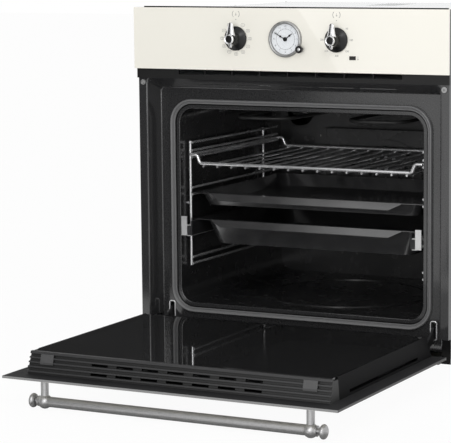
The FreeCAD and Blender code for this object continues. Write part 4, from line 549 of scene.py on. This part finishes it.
pressing = bmesh.new()
pressing.from_mesh(nodes["front_frame"].data)
bmesh.ops.remove_doubles(pressing, verts=pressing.verts, dist=MERGE)
bmesh.ops.dissolve_limit(pressing, angle_limit=FLAT_BEND, verts=pressing.verts, edges=pressing.edges)
for chosen, width in ((at_mouth, ROLL), (at_recess_foot, FOOT_ROLL), (at_slits, SLIT_LIP),
                      (at_opening, OPENING_LIP)):
    picked = [fold for fold in pressing.edges if len(fold.link_faces) == 2
              and chosen(fold.calc_face_angle_signed(), [end.co for end in fold.verts])]
    bmesh.ops.bevel(pressing, geom=picked, offset=width, offset_type="OFFSET", segments=ROUND_STEPS,
                    profile=ROUND_PROFILE, affect="EDGES", clamp_overlap=False)
front_pressing = placed("front_frame_pressing", pressing, frame_enamel)
flat_faces = front_pressing.modifiers.new("flat_faces", "WEIGHTED_NORMAL")
flat_faces.keep_sharp = True
front_pressing.data = as_shown(front_pressing)
front_pressing.modifiers.remove(flat_faces)
settle(front_pressing, "oven_body", ["front_frame"])
strip_black = finish("strip_black", dark=grey(0.007), light=grey(0.011), gloss=(0.4, 0.5), scale=700,
                     bump=0.15, Specular_IOR_Level=0.3)
dress(strip_black, "vent_strip")

# Mounting bushes: steel bushes beside the door's upper corners, which take the screws into the cabinet.
# A moulded grey plug covers each hole.
TURNED_SIDES, SMALL_SIDES = 72, 32
PLUG_PROFILE = [(0, 1.2), (2.2, 1.2), (2.2, 0.1), (2.0, -0.05), (0, -0.2)]
disc_steel = finish("disc_steel", dark=grey(0.3), light=grey(0.42), gloss=(0.35, 0.5), scale=300,
                    Metallic=0.7)
dress(disc_steel, "mounting_bushes")


def made(name, form, material, smooth=SMOOTH_LIMIT):
    """A piece from a new form, merged and facing outwards."""
    bmesh.ops.remove_doubles(form, verts=form.verts, dist=MERGE)
    bmesh.ops.recalc_face_normals(form, faces=form.faces)
    return placed(name, form, material, smooth)


def around(centre, radius, angle):
    """The (x, z) point at this distance from the centre, with the angle taken from the right."""
    return centre[0] + radius * math.cos(angle), centre[1] + radius * math.sin(angle)


def circle(centre, radius, count):
    return [around(centre, radius, math.tau * i / count) for i in range(count)]


def skinned(form, rings):
    """Joins each ring of points to the next. A ring of one point is a pole."""
    for ring, after in zip(rings, rings[1:]):
        for i in range(max(len(ring), len(after))):
            corners = [ring[i % len(ring)], ring[(i + 1) % len(ring)],
                       after[(i + 1) % len(after)], after[i % len(after)]]
            form.faces.new(list(dict.fromkeys(corners)))


def turned(form, profile, centre, sides=TURNED_SIDES):
    """Turns (radius, depth) points, in mm, about an axis along Y through centre (x, z)."""
    rings = []
    for radius, depth in profile:
        rim = circle(centre, radius * MM, sides if radius else 1)
        rings.append([form.verts.new((x, depth * MM, z)) for x, z in rim])
    skinned(form, rings)


bush_low, bush_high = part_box("mounting_bushes")
bush_radius = (bush_high.z - bush_low.z) / 2
plugs = bmesh.new()
for across in (bush_low.x + bush_radius, bush_high.x - bush_radius):
    turned(plugs, [(radius, bush_low.y / MM + depth) for radius, depth in PLUG_PROFILE],
           (across, bush_low.z + bush_radius), SMALL_SIDES)
plug_grey = finish("plug_grey", dark=grey(0.19), light=grey(0.23), gloss=(0.4, 0.5), scale=300)
settle(made("bush_plugs", plugs, plug_grey), "oven_body")

# Cavity gasket: a tube of glass-fibre cord in a moulded silicone skin, pressed on round the cavity mouth.
# Its section is one tall bead outside and a low lip inside. A thin near-black strip just inside it is
# painted shadow, where the gasket meets the rim.
GASKET_RADIUS = 38.75 * MM
GASKET_HALF = 4.25
GASKET_SECTION = [(-GASKET_HALF, 0), (-GASKET_HALF, 1.6), (-3.9, 2.5), (-3.2, 2.9), (-2.4, 2.6), (-1.9, 1.9),
                  (-1.3, 1.9), (-0.7, 3.2), (0.2, 5.0), (1.2, 6.1), (2.2, 6.4), (3.2, 6.0), (3.9, 4.9),
                  (GASKET_HALF, 3.2), (GASKET_HALF, 0)]
SHADOW_STRIP_SECTION = [(-6.3, 0), (-6.3, 0.2), (-4.2, 0.3), (-4.2, 0)]
CORNER_STEPS = 12


def round_path(left, right, low, high, radius, steps):
    """Points of a rounded rectangle in the plane of the front, each with its outward direction."""
    path = []
    corners = [(right, high), (left, high), (left, low), (right, low)]
    for quarter, (corner_x, corner_z) in enumerate(corners):
        middle_x = corner_x - radius if corner_x == right else corner_x + radius
        middle_z = corner_z - radius if corner_z == high else corner_z + radius
        for step in range(steps + 1):
            angle = (quarter + step / steps) * QUARTER_TURN
            path.append((*around((middle_x, middle_z), radius, angle), math.cos(angle), math.sin(angle)))
    return path


def swept(form, path, section, seat):
    """Carries a section of (outward, height) points, in mm, round a closed path, forward from the seat."""
    rings = [[form.verts.new((x + out * MM * out_x, seat - rise * MM, z + out * MM * out_z))
              for out, rise in section] for x, z, out_x, out_z in path]
    skinned(form, rings + rings[:1])


seal = finish("silicone_skin", dark=(0.13, 0.13, 0.132), light=(0.17, 0.17, 0.172), gloss=(0.36, 0.46),
              scale=700, bump=0.15)
gasket_low, gasket_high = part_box("cavity_gasket")
half_section = GASKET_HALF * MM
gasket_path = round_path(gasket_low.x + half_section, gasket_high.x - half_section,
                         gasket_low.z + half_section, gasket_high.z - half_section,
                         GASKET_RADIUS, CORNER_STEPS)
gasket_form = bmesh.new()
swept(gasket_form, gasket_path, GASKET_SECTION, gasket_high.y)
settle(made("gasket_bead", gasket_form, seal), "oven_body", ["cavity_gasket"])
# Painted shadow: a thin near-black strip swept just inside the bead, where the gasket meets the rim.
shadow_strip_form = bmesh.new()
swept(shadow_strip_form, gasket_path, SHADOW_STRIP_SECTION, gasket_high.y)
gasket_shadow_black = finish("gasket_foot", dark=grey(0.003), light=grey(0.005), gloss=(0.7, 0.8), scale=300,
                    Specular_IOR_Level=0.05)
settle(made("gasket_foot", shadow_strip_form, gasket_shadow_black), "oven_body")

# Hinge slot trims: bright pressed eyelets round the two slots of the frame that the hinge arms come through.
# A screw below each holds the hinge's own bracket behind the frame.
SLOT_ACROSS = 253 * MM
SLOT_LOW, SLOT_HIGH = 35 * MM, 65 * MM
SLOT_HALF, SLOT_ROUND, SLOT_STEPS = 4.5 * MM, 2.5 * MM, 6
TRIM_SECTION = [(0.1, 0), (0.1, 0.7), (0.5, 1.2), (1.2, 1.3), (1.8, 0.9), (2.1, 0)]
SCREW_BELOW = 10 * MM
bright_steel = finish("bright_trim", dark=(0.84, 0.84, 0.85), light=(0.92, 0.92, 0.93),
                      gloss=(0.15, 0.25), scale=120, Metallic=0.4)
trim_form = bmesh.new()
for side in (-SLOT_ACROSS, SLOT_ACROSS):
    slot_path = round_path(side - SLOT_HALF, side + SLOT_HALF, SLOT_LOW, SLOT_HIGH, SLOT_ROUND, SLOT_STEPS)
    swept(trim_form, slot_path, TRIM_SECTION, RECESS_FLOOR)
settle(made("hinge_slot_trims", trim_form, bright_steel), "oven_body")
hinge_points = [(side, RECESS_FLOOR, SLOT_LOW - SCREW_BELOW) for side in (-SLOT_ACROSS, SLOT_ACROSS)]
screws("hinge_screws", hinge_points, FACING_FRONT)

# Side racks, studs and shelf: chromed steel wire, bent and spot-welded.
# The runner rails are rolled from bright strip and hook over the racks.
chrome_wire = finish("chrome_wire", dark=(0.64, 0.64, 0.65), light=(0.78, 0.78, 0.79),
                     gloss=(0.12, 0.22), scale=90, Metallic=0.75)
dress(chrome_wire, "side_rack_left", "side_rack_right", "rack_studs", "wire_shelf")
bright_strip = finish("bright_strip", dark=grey(0.68), light=grey(0.74), gloss=(0.28, 0.36), scale=60,
                      stretch=(1, 8, 1), Metallic=0.6)
dress(bright_strip, "runner_rails")

# Trays: drawn steel under black vitreous enamel, with a drooping lip at the front to hold them by.
# The enamel's tone and gloss change a little from place to place, as it flows in the kiln.
tray_enamel = finish("tray_enamel", dark=(0.022, 0.022, 0.023), light=(0.03, 0.03, 0.031),
                     gloss=(0.16, 0.22), scale=40, IOR=1.8, Specular_IOR_Level=0.9)
dress(tray_enamel, "shallow_tray", "deep_tray")

# Control panel: a cream-enamelled front with grey fired print, whose returns behind the face are black.
# The print is a ring of plain signs, a ring of numbers and a small sign above each knob.
PANEL_CREAM, RETURN_BLACK = (0.885, 0.862, 0.782), grey(0.02)
RETURN_START = 3 * MM
PRINT_LIFT, PRINT_INTO = 0.05 * MM, 0.02 * MM
SIGN_LINE = 0.45 * MM
SIGN_RING, SIGN_COUNT, SIGN_TURN = 26.8 * MM, 11, math.radians(30)
SIGN_WIDTH, SIGN_HEIGHT = 6.6 * MM, 4.6 * MM
SIGN_CORNER, SIGN_STEPS = 1.4 * MM, 4
BAR_MOST, BAR_HALF, BAR_PITCH = 3, 1.6 * MM, 1.3 * MM
BRACKET_RISE, BRACKET_RADIUS, BRACKET_SPAN = 42 * MM, 6.8 * MM, math.radians(48)
BRACKET_LINE, BRACKET_STEPS = 0.8 * MM, 10
STEM_HALF = 2.4 * MM
BULB_DROP, BULB_RADIUS, BULB_SIDES = 1.2 * MM, 1.1 * MM, 12
DOT_DROP, DOT_RADIUS, DOT_SIDES = 9.5 * MM, 0.8 * MM, 14
HEAT_MARKS = [("50", -45), ("100", -90), ("150", -135), ("200", -180), ("225", -225), ("250", -270)]
FIGURE_SIZE = 4.6 * MM
cream = finish("cream_glass", dark=PANEL_CREAM, light=(0.897, 0.875, 0.797), gloss=(0.0, 0.012), scale=6,
               Specular_IOR_Level=0.9)
panel_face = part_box("control_panel")[0].y
paint_over(cream, RETURN_BLACK, front=panel_face + RETURN_START)
dress(cream, "control_panel")
cap_low, cap_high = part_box("function_knob_cap")
knob_level = (cap_low.z + cap_high.z) / 2
left_knob = ((cap_low.x + cap_high.x) / 2, knob_level)
right_knob = (-left_knob[0], knob_level)
print_level = panel_face - PRINT_LIFT
print_ink = finish("grey_print", dark=(0.2, 0.2, 0.195), light=(0.26, 0.26, 0.25), gloss=(0.4, 0.5),
                   scale=400)


def stroke(form, points, width, level, closed=False):
    """A flat line of ink through (x, z) points, lying on the face at this level."""
    count = len(points)
    sides = []
    for i, (x, z) in enumerate(points):
        before = points[i - 1] if i or closed else points[i]
        after = points[(i + 1) % count] if i < count - 1 or closed else points[i]
        along = Vector((after[0] - before[0], after[1] - before[1])).normalized()
        over = Vector((-along.y, along.x)) * width / 2
        sides.append([form.verts.new((x + sign * over.x, level, z + sign * over.y)) for sign in (-1, 1)])
    pairs = zip(sides, sides[1:] + sides[:1]) if closed else zip(sides, sides[1:])
    for (low, high), (next_low, next_high) in pairs:
        form.faces.new((low, next_low, next_high, high))


def arc(centre, radius, start, end, steps):
    return [around(centre, radius, start + (end - start) * i / steps) for i in range(steps + 1)]


def dot(form, centre, radius, level):
    form.faces.new([form.verts.new((x, level, z)) for x, z in circle(centre, radius, DOT_SIDES)])


def thicken(form, depth):
    """Gives flat shapes their thickness, back from their level, so that each is a closed skin."""
    bmesh.ops.recalc_face_normals(form, faces=form.faces)
    back = bmesh.ops.extrude_face_region(form, geom=form.faces[:])
    bmesh.ops.translate(form, verts=[part for part in back["geom"] if isinstance(part, bmesh.types.BMVert)],
                        vec=(0, depth, 0))


def inked(name, form, ink):
    thicken(form, PRINT_LIFT + PRINT_INTO)
    settle(made(name, form, ink), "oven_body")


def lettered(name, labels, size, level, ink):
    """Plain figures at (text, x, z) places, made one mesh and stood upright on the face."""
    form = bmesh.new()
    for text, x, z in labels:
        words = bpy.data.curves.new(name, "FONT")
        words.body = text
        words.size = size
        words.extrude = PRINT_LIFT / 2
        words.align_x, words.align_y = "CENTER", "CENTER"
        holder = put(name, words)
        figure = as_shown(holder)
        figure.transform(Matrix.Translation((x, level, z)) @ Matrix.Rotation(QUARTER_TURN, 4, "X"))
        form.from_mesh(figure)
        bpy.data.objects.remove(holder)
        bpy.data.meshes.remove(figure)
    settle(made(name, form, ink), "oven_body")


signs = bmesh.new()
for number in range(SIGN_COUNT):
    x, z = around(left_knob, SIGN_RING, QUARTER_TURN - (number + 1) * SIGN_TURN)
    outline = round_path(x - SIGN_WIDTH / 2, x + SIGN_WIDTH / 2, z - SIGN_HEIGHT / 2, z + SIGN_HEIGHT / 2,
                         SIGN_CORNER, SIGN_STEPS)
    stroke(signs, [point[:2] for point in outline], SIGN_LINE, print_level, closed=True)
    last_bar = number % BAR_MOST
    for bar in range(last_bar + 1):
        bar_level = z + (bar - last_bar / 2) * BAR_PITCH
        stroke(signs, [(x - BAR_HALF, bar_level), (x + BAR_HALF, bar_level)], SIGN_LINE, print_level)
for across, knob_height in (left_knob, right_knob):
    middle = knob_height + BRACKET_RISE
    for facing in (0, math.pi):
        bracket = arc((across, middle), BRACKET_RADIUS, facing - BRACKET_SPAN, facing + BRACKET_SPAN,
                      BRACKET_STEPS)
        stroke(signs, bracket, BRACKET_LINE, print_level)
    stroke(signs, [(across, middle - STEM_HALF), (across, middle + STEM_HALF)], SIGN_LINE, print_level)
    bulb = circle((across, middle - BULB_DROP), BULB_RADIUS, BULB_SIDES)
    stroke(signs, bulb, SIGN_LINE, print_level, closed=True)
    dot(signs, (across, middle - DOT_DROP), DOT_RADIUS, print_level)
inked("panel_signs", signs, print_ink)
heat_labels = [(text, *around(right_knob, SIGN_RING, QUARTER_TURN + math.radians(turn)))
               for text, turn in HEAT_MARKS]
lettered("heat_numbers", heat_labels, FIGURE_SIZE, print_level, print_ink)

# Control knobs: a black moulded skirt and hub, a chromed die-cast lever in front of it and a chrome ring cap
# with a black insert. Each pushes on to its spindle, and the lever points at the print.
KNOB_PROFILE = [(0, -22.8), (20.2, -22.8), (21, -23.5), (21, -25), (20.5, -25.7), (19.4, -26.1),
                (12.4, -30.6), (11.3, -31.7), (11, -33.2), (10.7, -41.8), (9.8, -44.8), (8.9, -46.4),
                (0, -46.8)]
CAP_PROFILE = [(5.7, -47), (8.6, -46.8), (8.85, -47.3), (8.85, -49.4), (8.4, -50.4), (7.5, -50.8),
               (6.5, -50.5), (5.9, -49.8), (5.7, -48.9), (5.7, -47)]
INSERT_PROFILE = [(0, -47.4), (5.6, -47.4), (5.6, -48.5), (5.1, -49), (0, -49.4)]
LEVER_STATIONS = [(-14.9, 0.5), (-14.2, 1.7), (-12.2, 2.7), (-9.4, 4), (-7, 6.4), (-4, 8.8), (0, 9.7),
                  (4, 9.2), (8, 7.9), (12.5, 6.6), (18, 5.6), (23, 4.7), (26, 3.8), (27.7, 2.4), (28.4, 0.6)]
LEVER_BACK, LEVER_FRONT, LEVER_THIN = -38.2, -46.9, 1.9
LEVER_TAPER, LEVER_SQUARE, LEVER_SIDES = 1.5, 0.8, 28
LEVER_SMOOTH = math.radians(50)


def squared(amount):
    """A sine or cosine made fuller, which squares a round section a little."""
    return math.copysign(abs(amount) ** LEVER_SQUARE, amount)


def lever_form(centre):
    """A teardrop lever: rounded sections from the tail, over the hub, to the narrow tip."""
    form = bmesh.new()
    top = LEVER_STATIONS[-1][0]
    angles = [math.tau * i / LEVER_SIDES for i in range(LEVER_SIDES)]
    rings = []
    for rise, half in LEVER_STATIONS:
        outness = min(abs(rise) / top, 1) ** LEVER_TAPER
        back = LEVER_BACK - LEVER_THIN * outness
        front = LEVER_FRONT + 2 * LEVER_THIN * outness
        middle, depth = (front + back) / 2, (front - back) / 2
        rings.append([form.verts.new((centre[0] + squared(math.cos(angle)) * half * MM,
                                      (middle + squared(math.sin(angle)) * depth) * MM,
                                      centre[1] + rise * MM)) for angle in angles])
    skinned(form, rings)
    form.faces.new(rings[0])
    form.faces.new(rings[-1])
    return form


def turned_piece(name, profile, centre, material, sides=TURNED_SIDES):
    form = bmesh.new()
    turned(form, profile, centre, sides)
    return made(name, form, material)


knob_black = finish("knob_black", dark=grey(0.006), light=grey(0.011), gloss=(0.26, 0.34), scale=60,
                    Specular_IOR_Level=0.35)
bright_chrome = finish("bright_chrome", dark=(0.66, 0.66, 0.67), light=(0.78, 0.78, 0.79),
                       gloss=(0.1, 0.17), scale=50, Metallic=1.0)
for knob, body, centre in (("function", "function_control", left_knob),
                           ("thermostat", "temperature_control", right_knob)):
    settle(turned_piece(knob + "_knob_skirt", KNOB_PROFILE, centre, knob_black), body,
           [knob + "_knob"])
    settle(made(knob + "_knob_lever", lever_form(centre), bright_chrome, LEVER_SMOOTH), body)
    settle(turned_piece(knob + "_cap_ring", CAP_PROFILE, centre, bright_chrome), body,
           [knob + "_knob_cap"])
    settle(turned_piece(knob + "_cap_insert", INSERT_PROFILE, centre, knob_black), body)

# Clock: a turned pewter bezel over a white dial, with a clear glass.
# The dial carries printed hour numbers and a minute track.
BEZEL_PROFILE = [(26.2, -22), (26.2, -26.4), (26.7, -27.3), (27.5, -27.8), (28.6, -28), (29.8, -27.5),
                 (30.6, -26.6), (31, -25.3), (31, -22), (26.2, -22)]
BEZEL_SIDES = 96
TRACK_RADIUS, TRACK_LINE, TRACK_SIDES = 17.3 * MM, 0.35 * MM, 90
MINUTES, HOURS = 60, 12
HOUR_TICK_END, HOUR_TICK_LINE = 18.7 * MM, 0.5 * MM
MINUTE_TICK_END, MINUTE_TICK_LINE = 18.1 * MM, 0.2 * MM
HOUR_RADIUS, HOUR_SIZE = 21.8 * MM, 4.4 * MM
dial_low, dial_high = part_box("clock_dial")
clock_centre = ((dial_low.x + dial_high.x) / 2, (dial_low.z + dial_high.z) / 2)
dial_level = dial_low.y - PRINT_LIFT
pewter = finish("satin_pewter", dark=(0.34, 0.34, 0.335), light=(0.44, 0.44, 0.435), gloss=(0.34, 0.46),
                scale=300, bump=0.1, Metallic=1.0)
bezel = turned_piece("bezel_ring", BEZEL_PROFILE, clock_centre, pewter, BEZEL_SIDES)
settle(bezel, "oven_body", ["clock_bezel"])
dial_white = finish("dial_white", dark=(0.84, 0.87, 0.9), light=(0.88, 0.9, 0.92), gloss=(0.3, 0.4),
                    scale=60)
dress(dial_white, "clock_dial")
dial_ink = finish("dial_ink", dark=(0.12, 0.13, 0.14), light=(0.17, 0.18, 0.19), gloss=(0.4, 0.5),
                  scale=300)
track = bmesh.new()
stroke(track, circle(clock_centre, TRACK_RADIUS, TRACK_SIDES), TRACK_LINE, dial_level, closed=True)
for minute in range(MINUTES):
    on_hour = minute % (MINUTES // HOURS) == 0
    reach, line = (HOUR_TICK_END, HOUR_TICK_LINE) if on_hour else (MINUTE_TICK_END, MINUTE_TICK_LINE)
    tick = [around(clock_centre, out, math.tau * minute / MINUTES) for out in (TRACK_RADIUS, reach)]
    stroke(track, tick, line, dial_level)
inked("minute_track", track, dial_ink)
hour_labels = [(str(hour), *around(clock_centre, HOUR_RADIUS, QUARTER_TURN - math.tau * hour / HOURS))
               for hour in range(1, HOURS + 1)]
lettered("hour_numbers", hour_labels, HOUR_SIZE, dial_level, dial_ink)
clock_glass = finish("clock_glass", dark=grey(0.1), light=grey(0.13), gloss=(0.0, 0.02), scale=20,
                     Alpha=0.03)
dress(clock_glass, "clock_glass")

# Clock hands: stamped and black lacquered, each with a bead on its arm and a hub pressed on to its arbor.
# The hour hand's hub is a pipe, which the minute hand's arbor goes through.
ARM_WIDTH, ARM_SHEET = 1.1 * MM, 0.5
HUB_ROOT, HUB_RADIUS = 3 * MM, 3.6
BEAD_OUT, BEAD_RADIUS, BEAD_SIDES = 10 * MM, 1.8, 24
PIPE_BORE, PIPE_WALL = 1.2, 0.5
CROWN, CROWN_TOP = [(1, 0.05), (0.8, 0.2)], 0.25
hand_lacquer = finish("hand_lacquer", dark=grey(0.004), light=grey(0.008), gloss=(0.4, 0.5), scale=100,
                      Specular_IOR_Level=0.2)


def crowned(radius, bore, back, front):
    """The outline of a low button, in mm, from the edge of its back over its crown to its bore."""
    crown = [(radius * share, front - rise) for share, rise in CROWN]
    return [(radius, back)] + crown + [(bore, front - CROWN_TOP)]


for hand, pointer, bore in (("hour_hand", "hour_pointer", PIPE_BORE), ("minute_hand", "minute_pointer", 0)):
    hand_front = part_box(hand)[0].y / MM
    hand_back = hand_front + ARM_SHEET
    tip = max((vertex.co for vertex in nodes[hand].data.vertices),
              key=lambda place: math.hypot(place.x - clock_centre[0], place.z - clock_centre[1]))
    turn = math.atan2(tip.z - clock_centre[1], tip.x - clock_centre[0])
    stamped = bmesh.new()
    stroke(stamped, [around(clock_centre, HUB_ROOT, turn), (tip.x, tip.z)], ARM_WIDTH, hand_front * MM)
    thicken(stamped, ARM_SHEET * MM)
    turned(stamped, [(0, hand_back)] + crowned(BEAD_RADIUS, 0, hand_back, hand_front),
           around(clock_centre, BEAD_OUT, turn), BEAD_SIDES)
    foot = (bore, dial_low.y / MM)
    shaft = bore + PIPE_WALL
    hub = [foot, (shaft, foot[1]), (shaft, hand_back)] + crowned(HUB_RADIUS, bore, hand_back, hand_front)
    turned(stamped, hub + [foot] if bore else hub, clock_centre, SMALL_SIDES)
    settle(made(hand + "_stamped", stamped, hand_lacquer), pointer, [hand])

# Setting knob: a black moulded knob at the clock's lower right, which sets the hands.
# A wider grip ring is moulded round its end, and a pale metal disc on its end is a painted highlight.
SETTER_GRIP = [(4.8, -32.4), (6, -32.4), (6.3, -32.8), (6.3, -35.7), (5.8, -36.2), (4.8, -36.2),
               (4.8, -32.4)]
SETTER_HIGHLIGHT = [(0, -35.9), (2.9, -35.9), (2.9, -36.1), (2.5, -36.35), (0, -36.5)]
setter_low, setter_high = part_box("setting_knob")
setter_centre = ((setter_low.x + setter_high.x) / 2, (setter_low.z + setter_high.z) / 2)
dress(knob_black, "setting_knob")
grip_ring = turned_piece("setting_knob_grip", SETTER_GRIP, setter_centre, knob_black, SMALL_SIDES)
settle(grip_ring, "time_setter")
# Painted highlight: a pale disc on the knob's end.
setter_face = finish("setter_face", dark=grey(0.5), light=grey(0.6), gloss=(0.3, 0.4), scale=200,
                     Metallic=0.6)
highlight_disc = turned_piece("setting_knob_face", SETTER_HIGHLIGHT, setter_centre, setter_face, SMALL_SIDES)
settle(highlight_disc, "time_setter")

# Signal lamp: a small smoked window let into the panel, with its sign printed beside it.
# The lamp sits behind the smoked plastic.
LAMP_SIGN_GAP, LAMP_STEM_FOOT, LAMP_DOT = 4 * MM, 1.6 * MM, 0.9 * MM
lamp_window = finish("lamp_window", dark=(0.012, 0.011, 0.01), light=(0.02, 0.018, 0.016),
                     gloss=(0.12, 0.2), scale=40)
dress(lamp_window, "indicator_lamp")
lamp_low, lamp_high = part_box("indicator_lamp")
sign_across = lamp_high.x + LAMP_SIGN_GAP
lamp_sign = bmesh.new()
lamp_stem = [(sign_across, lamp_low.z + LAMP_STEM_FOOT), (sign_across, lamp_high.z)]
stroke(lamp_sign, lamp_stem, SIGN_LINE, print_level)
dot(lamp_sign, (sign_across, lamp_low.z + LAMP_DOT), LAMP_DOT, print_level)
inked("lamp_sign", lamp_sign, print_ink)

# Door glass: the outer pane is enamelled cream outside, with a bare window, and black inside.
# Two dark heat-reflecting panes lie behind it. The ground edge of the outer pane shows as a pale line at its
# ends; along its sides the edge is painted darker, as painted shade.
PANE_EDGE = 0.2 * MM
WINDOW_SIDE, WINDOW_LOW, WINDOW_HIGH = 0.205, -0.37, -0.13
WINDOW_BLACK = (0.012, 0.012, 0.013)
SHADED_SIDE_EDGE, END_EDGE = grey(0.12), grey(0.24)
SKIN_GLOSS = grey(0.06)
pane_low, pane_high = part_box("door_outer_panel")
skin = pane_low.z + PANE_EDGE / 2
outer_pane = finish("outer_pane", dark=(0.016, 0.016, 0.017), light=(0.022, 0.022, 0.023),
                    gloss=(0.6, 0.7), scale=12, Specular_IOR_Level=0.15)
# Painted shade: the side edges of the pane are darker than its ends.
paint_over(outer_pane, SHADED_SIDE_EDGE, right=pane_low.x + PANE_EDGE)
paint_over(outer_pane, SHADED_SIDE_EDGE, left=pane_high.x - PANE_EDGE)
paint_over(outer_pane, END_EDGE, back=pane_low.y + PANE_EDGE)
paint_over(outer_pane, END_EDGE, front=pane_high.y - PANE_EDGE)
paint_over(outer_pane, PANEL_CREAM, high=skin)
paint_over(outer_pane, WINDOW_BLACK, left=-WINDOW_SIDE, right=WINDOW_SIDE, front=WINDOW_LOW,
           back=WINDOW_HIGH, high=skin)
paint_over(outer_pane, SKIN_GLOSS, "Roughness", high=skin)
dress(outer_pane, "door_outer_panel")
dark_pane = finish("dark_pane", dark=(0.017, 0.017, 0.0175), light=(0.021, 0.021, 0.0215),
                   gloss=(0.015, 0.04), scale=10, IOR=1.5)
dress(dark_pane, "door_inner_glass", "door_middle_glass")

# Door carriers: black coated side profiles and a louvred rail that lets the cooling air into the door.
# The rail's grooves are painted near-black by their depth, as painted shade, and two moulded clips hold the
# inner pane.
RAIL_LEAN = (0, -0.9563, 0.2923)
GROOVE_FLOOR, GROOVE_FADE = 417.6 * MM, MM
GROOVE_PAINTED_SHADE = grey(0.006)
profile_black = finish("profile_black", dark=(0.005, 0.005, 0.0055), light=(0.008, 0.008, 0.0085),
                       gloss=(0.5, 0.6), scale=700, bump=0.2, Specular_IOR_Level=0.05)
dress(profile_black, "door_side_left", "door_side_right", "door_bottom_rail")
rail_grey = finish("rail_grey", dark=(0.023, 0.023, 0.024), light=(0.031, 0.031, 0.032),
                   gloss=(0.42, 0.55), scale=900, bump=0.25)
rail_tree = rail_grey.node_tree
# Painted shade: below a set depth the grooves fade to near-black.
reach_out = reckoned(rail_tree, VECTOR_MATHS, "DOT_PRODUCT",
                     rail_tree.nodes.new("ShaderNodeTexCoord").outputs["Object"], RAIL_LEAN)
groove_shade = rail_tree.nodes.new("ShaderNodeMapRange")
for label, amount in (("From Min", GROOVE_FLOOR), ("From Max", GROOVE_FLOOR + GROOVE_FADE), ("To Min", 1),
                      ("To Max", 0)):
    groove_shade.inputs[label].default_value = amount
link(rail_tree, reach_out.outputs["Value"], groove_shade.inputs["Value"])
cover(rail_grey, "Base Color", GROOVE_PAINTED_SHADE, groove_shade.outputs["Result"])
dress(rail_grey, "door_top_rail")
clip_grey = finish("clip_grey", dark=(0.06, 0.06, 0.061), light=(0.075, 0.075, 0.076), gloss=(0.4, 0.5),
                   scale=900, bump=0.2)
dress(clip_grey, "glass_clips")

# Handle: a cast bar between two posts with ball ends, all satin pewter and screwed through the outer pane.
# The casting keeps a faint mottle.
cast_pewter = finish("cast_pewter", dark=(0.4, 0.4, 0.402), light=(0.46, 0.46, 0.462),
                     gloss=(0.36, 0.44), scale=300, bump=0.1, Metallic=0.9)
dress(cast_pewter, "handle_bar", "handle_posts", "handle_finials")
